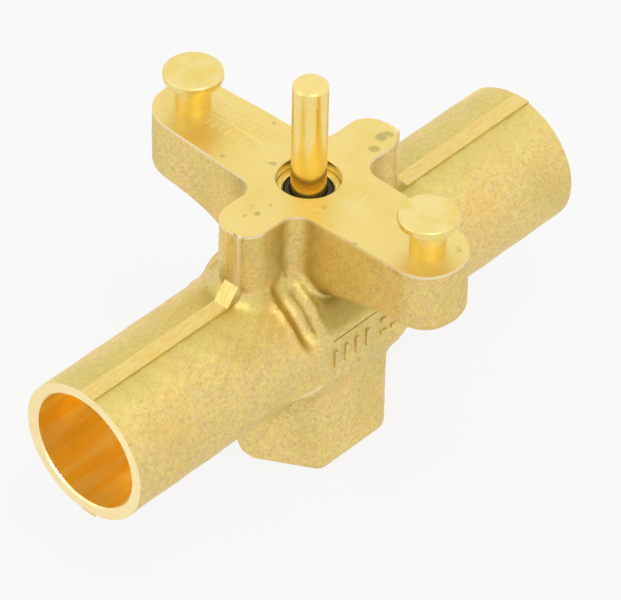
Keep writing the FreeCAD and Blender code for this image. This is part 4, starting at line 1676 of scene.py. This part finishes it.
    def dress(self, body: bpy.types.Object, finishes: Finishes) -> None:
        """Gives each face its finish and measures the skin's hollows, ridges and shut-in places for
        painted shade and highlights.

        Args:
            body: The machined body.
            finishes: The finishes.
        """
        mesh = body.data
        mesh.materials.clear()
        skins = {Skin.FORGED: finishes.forged, Skin.MILLED: finishes.milled,
                 Skin.SHEARED: finishes.sheared, Skin.BORED: finishes.bore,
                 Skin.TURNED: finishes.turned, Skin.FACED: finishes.faced}
        for skin in Skin:
            mesh.materials.append(skins[skin])
        count = len(mesh.polygons)
        centre = np.empty(count * 3)
        normal = np.empty(count * 3)
        mesh.polygons.foreach_get("center", centre)
        mesh.polygons.foreach_get("normal", normal)
        kinds = self.face_kinds(centre.reshape(-1, 3) / MM, normal.reshape(-1, 3))
        mesh.polygons.foreach_set("material_index", kinds)
        shade_smooth(mesh, self.crease_deg)
        points = np.empty(len(mesh.vertices) * 3)
        mesh.vertices.foreach_get("co", points)
        points = points.reshape(-1, 3) / MM
        out = self.shape.slope(points)
        # Traits for painted light: hollow and shade darken the skin where shade falls, ridge
        # lightens its ridges
        near, far = self.near_reach, self.far_reach
        hollow = 1 - self.shape.distance(points + near * out) / near
        ridge = 1 + self.shape.distance(points - near * out) / near
        shade = (1 - self.shape.distance(points + far * out) / far) / 2
        for name, value in (("hollow", hollow), ("ridge", ridge), ("shade", shade)):
            trait = mesh.attributes.new(name, "FLOAT", "POINT")
            trait.data.foreach_set("value", np.clip(value * 2, 0, 1).astype(np.float32))

    def face_kinds(self, centre: np.ndarray, normal: np.ndarray) -> np.ndarray:
        """Sorts the faces by what made them.

        Args:
            centre: Centre of each face in millimetres.
            normal: Normal of each face.

        Returns:
            One Skin number for each face.
        """
        s = self.shape
        x, y, z = centre.T
        around = np.hypot(y, z - s.pipe_z)
        stem = np.hypot(x, y)
        below_skin = -s.distance(centre)
        under_top = z < s.top_z - TINY
        kinds = np.full(len(centre), int(Skin.FORGED), np.int32)
        strip = np.abs(y - self.flash_middle(x)) <= self.flash_half_w + self.hair
        outer = np.abs(np.abs(z - s.pipe_z) - s.stub_r - self.flash_proud) < TINY
        lobe = np.abs(np.abs(x) - self.flash_lobe_x) < TINY
        web = (np.abs(x) > self.flash_lobe_x) & (np.abs(normal[:, 1]) < TINY)
        web &= (z > s.pipe_z + s.stub_r) & (z < s.top_z - self.flash_web_drop + TINY)
        kinds[strip & (outer | lobe | web)] = Skin.SHEARED
        kinds[(np.abs(z - s.top_z) < TINY) & (normal[:, 2] > self.level_cos)] = Skin.MILLED
        kinds[(around < self.socket_r + self.slack) & (np.abs(x) > self.port_stop_x)] = Skin.BORED
        core = (stem < self.lower_chamber_r + self.slack) & under_top & (z > TINY)
        kinds[core & (below_skin > self.deep)] = Skin.TURNED
        plug = stem < self.plug_thread_r + self.hair
        plug &= z < self.plug_thread_top_z + self.slack
        kinds[plug | ((below_skin > self.deep) & (kinds == Skin.FORGED))] = Skin.TURNED
        gland = stem < self.gland_r + self.over
        kinds[gland & (z > self.gland_floor_z) & under_top] = Skin.TURNED
        mouth = np.abs(x) > s.stub_end_x - self.mouth_chamfer
        mouth &= around < s.stub_r - self.slack
        kinds[mouth & (np.abs(normal[:, 0]) > self.mouth_cos)] = Skin.FACED
        engraved = (z > s.top_z - self.deep) & under_top & ~gland
        kinds[engraved & (below_skin > self.slack)] = Skin.FACED
        return kinds


# ---------------------------------------------------------------- turned pieces
@dataclass(frozen=True)
class Lathe:
    """Turns outlines about the stem axis with a Geometry Nodes tree."""

    facets: int = 96
    round_steps: int = 5
    crease_deg: float = 28.0
    weld: float = 1e-6
    least_rise: float = 1e-4

    def rig(self) -> NodeRig:
        """Builds the tree: a line whose points carry radii becomes a turned solid.

        Returns:
            The rig.
        """
        rig = NodeRig("turned_piece", facets="Int")
        line = rig.add("MeshToCurve", mesh=rig.given["geometry"])
        circle = rig.add("CurvePrimitiveCircle", resolution=rig.given["facets"], radius=1.0)
        radius = rig.add("InputNamedAttribute", name="turn_radius")
        skin = rig.add("CurveToMesh", curve=line, profile_curve=circle, scale=radius,
                       fill_caps=True)
        return rig.close(rig.add("MergeByDistance", geometry=skin, distance=self.weld))

    def rounded(self, corners: Corners) -> Outline:
        """Rounds the corners of an outline.

        Args:
            corners: (radius, height, round) from one end of the axis to the other.

        Returns:
            (radius, height) pairs.
        """
        pairs = []
        for i, (r, h, turn) in enumerate(corners):
            here = np.array([r, h])
            if turn <= 0 or i in (0, len(corners) - 1):
                pairs.append((r, h))
                continue
            back = np.array(corners[i - 1][:2]) - here
            ahead = np.array(corners[i + 1][:2]) - here
            back, ahead = back / np.linalg.norm(back), ahead / np.linalg.norm(ahead)
            half = math.acos(float(np.clip(back @ ahead, -1, 1))) / 2
            reach = turn / math.tan(half)
            a, b = here + back * reach, here + ahead * reach
            middle = here + (back + ahead) / np.linalg.norm(back + ahead) * (turn / math.sin(half))
            for k in range(self.round_steps + 1):
                share = k / self.round_steps
                chord = a + (b - a) * share - middle
                pairs.append(tuple(middle + chord / np.linalg.norm(chord) * turn))
        return pairs

    def piece(self, name: str, corners: Corners, material: bpy.types.Material,
              centre: tuple[float, float] = (0.0, 0.0)) -> bpy.types.Object:
        """Turns one piece.

        Args:
            name: Name of the piece.
            corners: (radius, height, round) in millimetres, from one end to the other.
            material: Its finish.
            centre: x and y of its axis in millimetres.

        Returns:
            The plain mesh object.
        """
        pairs = self.rounded(corners)
        if corners[0][:2] == corners[-1][:2]:
            return self.ring(name, pairs, material, centre)
        heights = [pairs[0][1]]
        for _, height in pairs[1:]:
            heights.append(max(height, heights[-1] + self.least_rise))
        points = [(*centre, height) for height in heights]
        line = mesh_object(name + "_line", points, [], [(i, i + 1) for i in range(len(points) - 1)])
        radii = line.data.attributes.new("turn_radius", "FLOAT", "POINT")
        radii.data.foreach_set("value", [max(r, TINY) * MM for r, _ in pairs])
        return self.smooth(self.rig().grow(line, name, facets=self.facets, finish=material))

    def ring(self, name: str, pairs: Outline, material: bpy.types.Material,
             centre: tuple[float, float]) -> bpy.types.Object:
        """Turns a closed outline into a ring.

        Args:
            name: Name of the piece.
            pairs: (radius, height) pairs, the last the same as the first.
            material: Its finish.
            centre: x and y of its axis in millimetres.

        Returns:
            The plain mesh object.
        """
        outline = pairs[:-1]
        angles = np.arange(self.facets) * (2 * math.pi / self.facets)
        points = [(centre[0] + r * math.cos(t), centre[1] + r * math.sin(t), h)
                  for t in angles for r, h in outline]
        count = len(outline)
        faces = []
        for k in range(self.facets):
            a, b = k * count, (k + 1) % self.facets * count
            for i in range(count):
                j = (i + 1) % count
                faces.append((a + i, a + j, b + j, b + i))
        made = mesh_object(name, points, faces)
        made.data.materials.append(material)
        return self.smooth(made)

    def smooth(self, piece: bpy.types.Object) -> bpy.types.Object:
        """Shades a piece smooth between its edges and turns its faces outwards.

        Args:
            piece: The piece.

        Returns:
            The same piece.
        """
        work = bmesh.new()
        work.from_mesh(piece.data)
        bmesh.ops.recalc_face_normals(work, faces=work.faces)
        work.to_mesh(piece.data)
        work.free()
        shade_smooth(piece.data, self.crease_deg)
        return piece


@dataclass
class ActuatorPins:
    """Two headed pins pressed into the arms."""

    lathe: Lathe = field(default_factory=Lathe)
    head_t: float = 1.7
    face_r: float = 5.0
    face_drop: float = 0.12
    face_round: float = 0.1
    head_round: float = 0.42
    shank_r: float = 3.2
    shank_round: float = 0.3
    tail_r: float = 2.6
    dimple_r: float = 0.7
    dimple_d: float = 0.35
    dimple_round: float = 0.08

    def build(self, finishes: Finishes) -> None:
        """Builds both pins.

        Args:
            finishes: The finishes.
        """
        for node in ("actuator_pin_left", "actuator_pin_right"):
            low, high = node_box_mm(node)
            flange = node_box_mm("valve_body")[1][2]
            top = high[2]
            under = top - self.head_t
            head_r = (high[0] - low[0]) / 2
            corners = [(0.0, low[2], 0), (self.tail_r, low[2], 0), (self.tail_r, flange, 0),
                       (self.shank_r, flange, 0), (self.shank_r, under, self.shank_round),
                       (head_r, under, self.head_round),
                       (head_r, top - self.face_drop, self.head_round),
                       (self.face_r, top, self.face_round),
                       (self.dimple_r, top, self.dimple_round), (0.0, top - self.dimple_d, 0)]
            middle = (0.0, (low[1] + high[1]) / 2)
            pin = self.lathe.piece(node + "_turned", corners, finishes.turned, middle)
            placed(pin, Body.VALVE, Slot.TURNED, node)


@dataclass
class StemAndGland:
    """Push stem and the visible pieces of its gland."""

    lathe: Lathe = field(default_factory=Lathe)
    stem_r: float = 3.175
    tenon_r: float = 2.0
    tip_chamfer: float = 0.37
    tip_round: float = 0.12
    chamfer_round: float = 0.08
    tenon_round: float = 0.3
    shoulder_round: float = 0.1
    dome: float = 0.25
    dome_steps: int = 4
    gland_r: float = 5.64
    retainer_hole_r: float = 4.45
    retainer_chamfer: float = 0.3
    edge_round: float = 0.12
    fine_round: float = 0.05
    wiper_bore_r: float = 3.245
    wiper_lip_r: float = 4.35
    wiper_lip: float = 0.9
    lip_round: float = 0.35

    def build(self, finishes: Finishes) -> None:
        """Builds the stem, the retainer and the wiper.

        Args:
            finishes: The finishes.
        """
        self.stem(finishes)
        low, high = node_box_mm("seal_retainer")
        r, top, bottom = self.retainer_hole_r, high[2], low[2]
        outline = [(r, bottom, 0), (self.gland_r, bottom, self.edge_round),
                   (self.gland_r, top, self.edge_round),
                   (r + self.retainer_chamfer, top, self.fine_round),
                   (r, top - self.retainer_chamfer, self.fine_round), (r, bottom, 0)]
        ring = self.lathe.piece("seal_retainer_turned", outline, finishes.turned)
        placed(ring, Body.VALVE, Slot.TURNED, "seal_retainer")
        low, high = node_box_mm("wiper_seal")
        base, top = low[2], high[2]
        step = top - self.wiper_lip
        r = self.wiper_bore_r
        outline = [(r, base, 0), (self.gland_r, base, self.edge_round),
                   (self.gland_r, step, self.edge_round),
                   (self.wiper_lip_r, step, self.shoulder_round),
                   (self.wiper_lip_r, top, self.lip_round), (r, top, self.lip_round), (r, base, 0)]
        ring = self.lathe.piece("wiper_seal_moulded", outline, finishes.rubber)
        placed(ring, Body.VALVE, Slot.RUBBER, "wiper_seal")

    def stem(self, finishes: Finishes) -> None:
        """Turns the stem with its tenon and its domed, chamfered tip.

        Args:
            finishes: The finishes.
        """
        low, high = node_box_mm("stem")
        shoulder = node_box_mm("disc_washer")[1][2]
        edge = high[2] - self.dome
        tip_r = self.stem_r - self.tip_chamfer
        outline = [(0.0, low[2], 0), (self.tenon_r, low[2], self.tenon_round),
                   (self.tenon_r, shoulder, 0), (self.stem_r, shoulder, self.shoulder_round),
                   (self.stem_r, edge - self.tip_chamfer, self.chamfer_round),
                   (tip_r, edge, self.tip_round)]
        for k in range(1, self.dome_steps + 1):
            r = tip_r * (1 - k / self.dome_steps)
            outline.append((r, high[2] - self.dome * (r / tip_r) ** 2, 0))
        rod = self.lathe.piece("push_stem_turned", outline, finishes.polished)
        placed(rod, Body.STEM, Slot.POLISHED, "stem")


@dataclass(frozen=True)
class ReturnSpring:
    """Helical spring of round wire, wound at its rest length; it does not shorten with the stem."""

    coil_r: float = 5.9
    wire_r: float = 0.55
    turns: float = 4.5
    steps_per_turn: int = 48
    wire_sides: int = 16
    wire_flat: float = math.cos(math.radians(22.5))
    crease_deg: float = 50.0

    def rig(self) -> NodeRig:
        """Builds the tree: a round wire swept along a spiral.

        Returns:
            The rig.
        """
        rig = NodeRig("coil_spring", steps="Int", sides="Int", turns="Float",
                      coil_radius="Float", rise="Float", start="Vector", wire_radius="Float")
        given = rig.given
        coil = rig.add("CurveSpiral", resolution=given["steps"], rotations=given["turns"],
                       start_radius=given["coil_radius"], end_radius=given["coil_radius"],
                       height=given["rise"], reverse=True)
        wire = rig.add("CurvePrimitiveCircle", resolution=given["sides"],
                       radius=given["wire_radius"])
        swept = rig.add("CurveToMesh", curve=coil, profile_curve=wire, fill_caps=True)
        return rig.close(rig.add("Transform", geometry=swept, translation=given["start"]))

    def build(self, finishes: Finishes) -> bpy.types.Object:
        """Winds the spring between the plug and the disc carrier.

        Args:
            finishes: The finishes.

        Returns:
            The finished piece.
        """
        low, high = (corner[2] for corner in node_box_mm("return_spring"))
        low += self.wire_r * self.wire_flat
        high -= self.wire_r * self.wire_flat
        seed = mesh_object("return_spring_seed", [(0, 0, 0)], [])
        piece = self.rig().grow(
            seed, "return_spring_wound", steps=int(self.turns * self.steps_per_turn),
            sides=self.wire_sides, turns=self.turns, coil_radius=self.coil_r * MM,
            rise=(high - low) * MM, start=(0.0, 0.0, low * MM), wire_radius=self.wire_r * MM,
            finish=finishes.steel)
        shade_smooth(piece.data, self.crease_deg)
        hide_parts("return_spring")
        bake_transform(piece)
        LOG.info("%s: %d faces", piece.name, len(piece.data.polygons))
        return piece


class CarriedOver:
    """CAD nodes whose shape is right, given their finishes."""

    FINISH: dict[str, str] = {
        "upper_stem_o_ring": "rubber", "seal_spacer": "plastic", "lower_stem_o_ring": "rubber",
        "guide_bush": "turned", "disc_washer": "turned", "seat_disc": "rubber",
        "disc_carrier": "turned", "lock_washer": "steel", "disc_nut": "turned",
        "bottom_plug": "turned", "plug_o_ring": "rubber",
    }

    def build(self, finishes: Finishes) -> None:
        """Dresses the nodes.

        Args:
            finishes: The finishes.
        """
        for name, finish in self.FINISH.items():
            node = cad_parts[name]
            node.data.materials.clear()
            node.data.materials.append(getattr(finishes, finish))
            LOG.info("%s: %s", name, finish)


# ---------------------------------------------------------------- the studio
@dataclass(frozen=True)
class Lamp:
    """Soft square lamp: place, aim and side in metres, power in watts, spread in degrees."""

    name: str
    place: Triple
    aim: Triple
    size: float
    power: float
    spread: float = 180.0

    def build(self) -> None:
        """Adds the lamp to the scene."""
        data = bpy.data.lights.new(self.name, "AREA")
        data.size = self.size
        data.energy = self.power
        data.spread = math.radians(self.spread)
        made = linked(self.name, data)
        back = Vector(self.place) - Vector(self.aim)
        made.matrix_world = (Matrix.Translation(Vector(self.place))
                             @ back.to_track_quat("Z", "Y").to_matrix().to_4x4())


@dataclass(frozen=True)
class Studio:
    """Pale floor, white surroundings, soft lamps and the camera."""

    camera_mm: Triple = (-592.2666, -535.0486, 725.9315)
    azimuth: float = -47.9656
    elevation: float = 41.1521
    roll: float = 1.4097
    lens: float = 350.39
    floor_half: float = 3.0
    floor_glow: float = 0.85
    floor_grey: float = 0.86
    floor_rough: float = 0.9
    surround_light: float = 0.6
    clip: tuple[float, float] = (0.01, 20.0)
    lamps: tuple[Lamp, ...] = (
        Lamp("top_softbox", (-0.08, -0.28, 0.75), (0.0, 0.0, 0.03), 0.35, 1.0),
        Lamp("left_softbox", (-0.60, 0.40, 0.40), (0.0, 0.0, 0.03), 0.50, 0.35),
        Lamp("inlet_softbox", (-0.105, -0.014, 0.046), (-0.045, 0.0, 0.0270), 0.016, 0.0018, 14.0),
        Lamp("outlet_softbox", (0.105, 0.014, 0.046), (0.045, 0.0, 0.0270), 0.016, 0.0018, 14.0))

    def build(self) -> None:
        """Builds the camera, the floor, the world and the lamps."""
        self.camera()
        self.floor()
        self.world()
        for lamp in self.lamps:
            lamp.build()

    def camera(self) -> None:
        """Places the camera."""
        data = bpy.data.cameras.new("camera")
        data.lens = self.lens
        data.clip_start, data.clip_end = self.clip
        made = linked("camera", data)
        a, e, r = (math.radians(v) for v in (self.azimuth, self.elevation, self.roll))
        back = Vector((math.sin(a) * math.cos(e), -math.cos(a) * math.cos(e), math.sin(e)))
        level = Vector((math.cos(a), math.sin(a), 0))
        rise = back.cross(level)
        right = level * math.cos(r) + rise * math.sin(r)
        up = rise * math.cos(r) - level * math.sin(r)
        turn = Matrix((right, up, back)).transposed().to_4x4()
        made.matrix_world = Matrix.Translation(Vector(self.camera_mm) * MM) @ turn
        bpy.context.scene.camera = made

    def floor(self) -> None:
        """Lays the pale floor, white to the camera, that keeps the valve's shadow."""
        half = self.floor_half / MM
        corners = [(-half, -half, 0), (half, -half, 0), (half, half, 0), (-half, half, 0)]
        made = mesh_object("floor", corners, [(0, 1, 2, 3)])
        material = bpy.data.materials.new("pale_floor")
        material.use_nodes = True
        nodes, links = material.node_tree.nodes, material.node_tree.links
        shader = nodes["Principled BSDF"]
        shader.inputs["Base Color"].default_value = (*[self.floor_grey] * 3, 1)
        shader.inputs["Roughness"].default_value = self.floor_rough
        shader.inputs["Specular IOR Level"].default_value = 0.0
        glow = nodes.new("ShaderNodeEmission")
        share = nodes.new("ShaderNodeMath")
        share.operation = "MULTIPLY"
        share.inputs[1].default_value = self.floor_glow
        mix = nodes.new("ShaderNodeMixShader")
        for source, target in ((self.seen(material.node_tree), share.inputs[0]),
                               (share.outputs[0], mix.inputs[0]),
                               (shader.outputs[0], mix.inputs[1]),
                               (glow.outputs[0], mix.inputs[2]),
                               (mix.outputs[0], nodes["Material Output"].inputs["Surface"])):
            links.new(source, target)
        made.data.materials.append(material)

    def world(self) -> None:
        """Makes the surroundings white to the camera and in reflections, softer as light."""
        world = bpy.data.worlds.new("studio_world")
        world.use_nodes = True
        bpy.context.scene.world = world
        nodes, links = world.node_tree.nodes, world.node_tree.links
        background = nodes["Background"]
        background.inputs["Color"].default_value = (1, 1, 1, 1)
        strength = nodes.new("ShaderNodeMapRange")
        strength.inputs["To Min"].default_value = self.surround_light
        strength.inputs["To Max"].default_value = 1.0
        links.new(self.seen(world.node_tree), strength.inputs["Value"])
        links.new(strength.outputs[0], background.inputs["Strength"])

    @staticmethod
    def seen(tree: bpy.types.NodeTree) -> bpy.types.NodeSocket:
        """Tells the camera's rays and mirrored ones from the rays that carry light.

        Args:
            tree: Tree that gets the nodes.

        Returns:
            The value socket, 1 where the ray is one of those seen.
        """
        path = tree.nodes.new("ShaderNodeLightPath")
        either = tree.nodes.new("ShaderNodeMath")
        either.operation = "MAXIMUM"
        tree.links.new(path.outputs["Is Camera Ray"], either.inputs[0])
        tree.links.new(path.outputs["Is Glossy Ray"], either.inputs[1])
        return either.outputs[0]


def main() -> None:
    """Builds the whole scene in order."""
    logging.basicConfig(level=logging.INFO, format="%(name)s: %(message)s")
    bpy.context.scene.view_settings.view_transform = "Standard"
    Studio().build()
    finishes = Finishes()
    ValveBody().build(finishes)
    ActuatorPins().build(finishes)
    StemAndGland().build(finishes)
    ReturnSpring().build(finishes)
    CarriedOver().build(finishes)


if __name__ == "__main__":
    main()
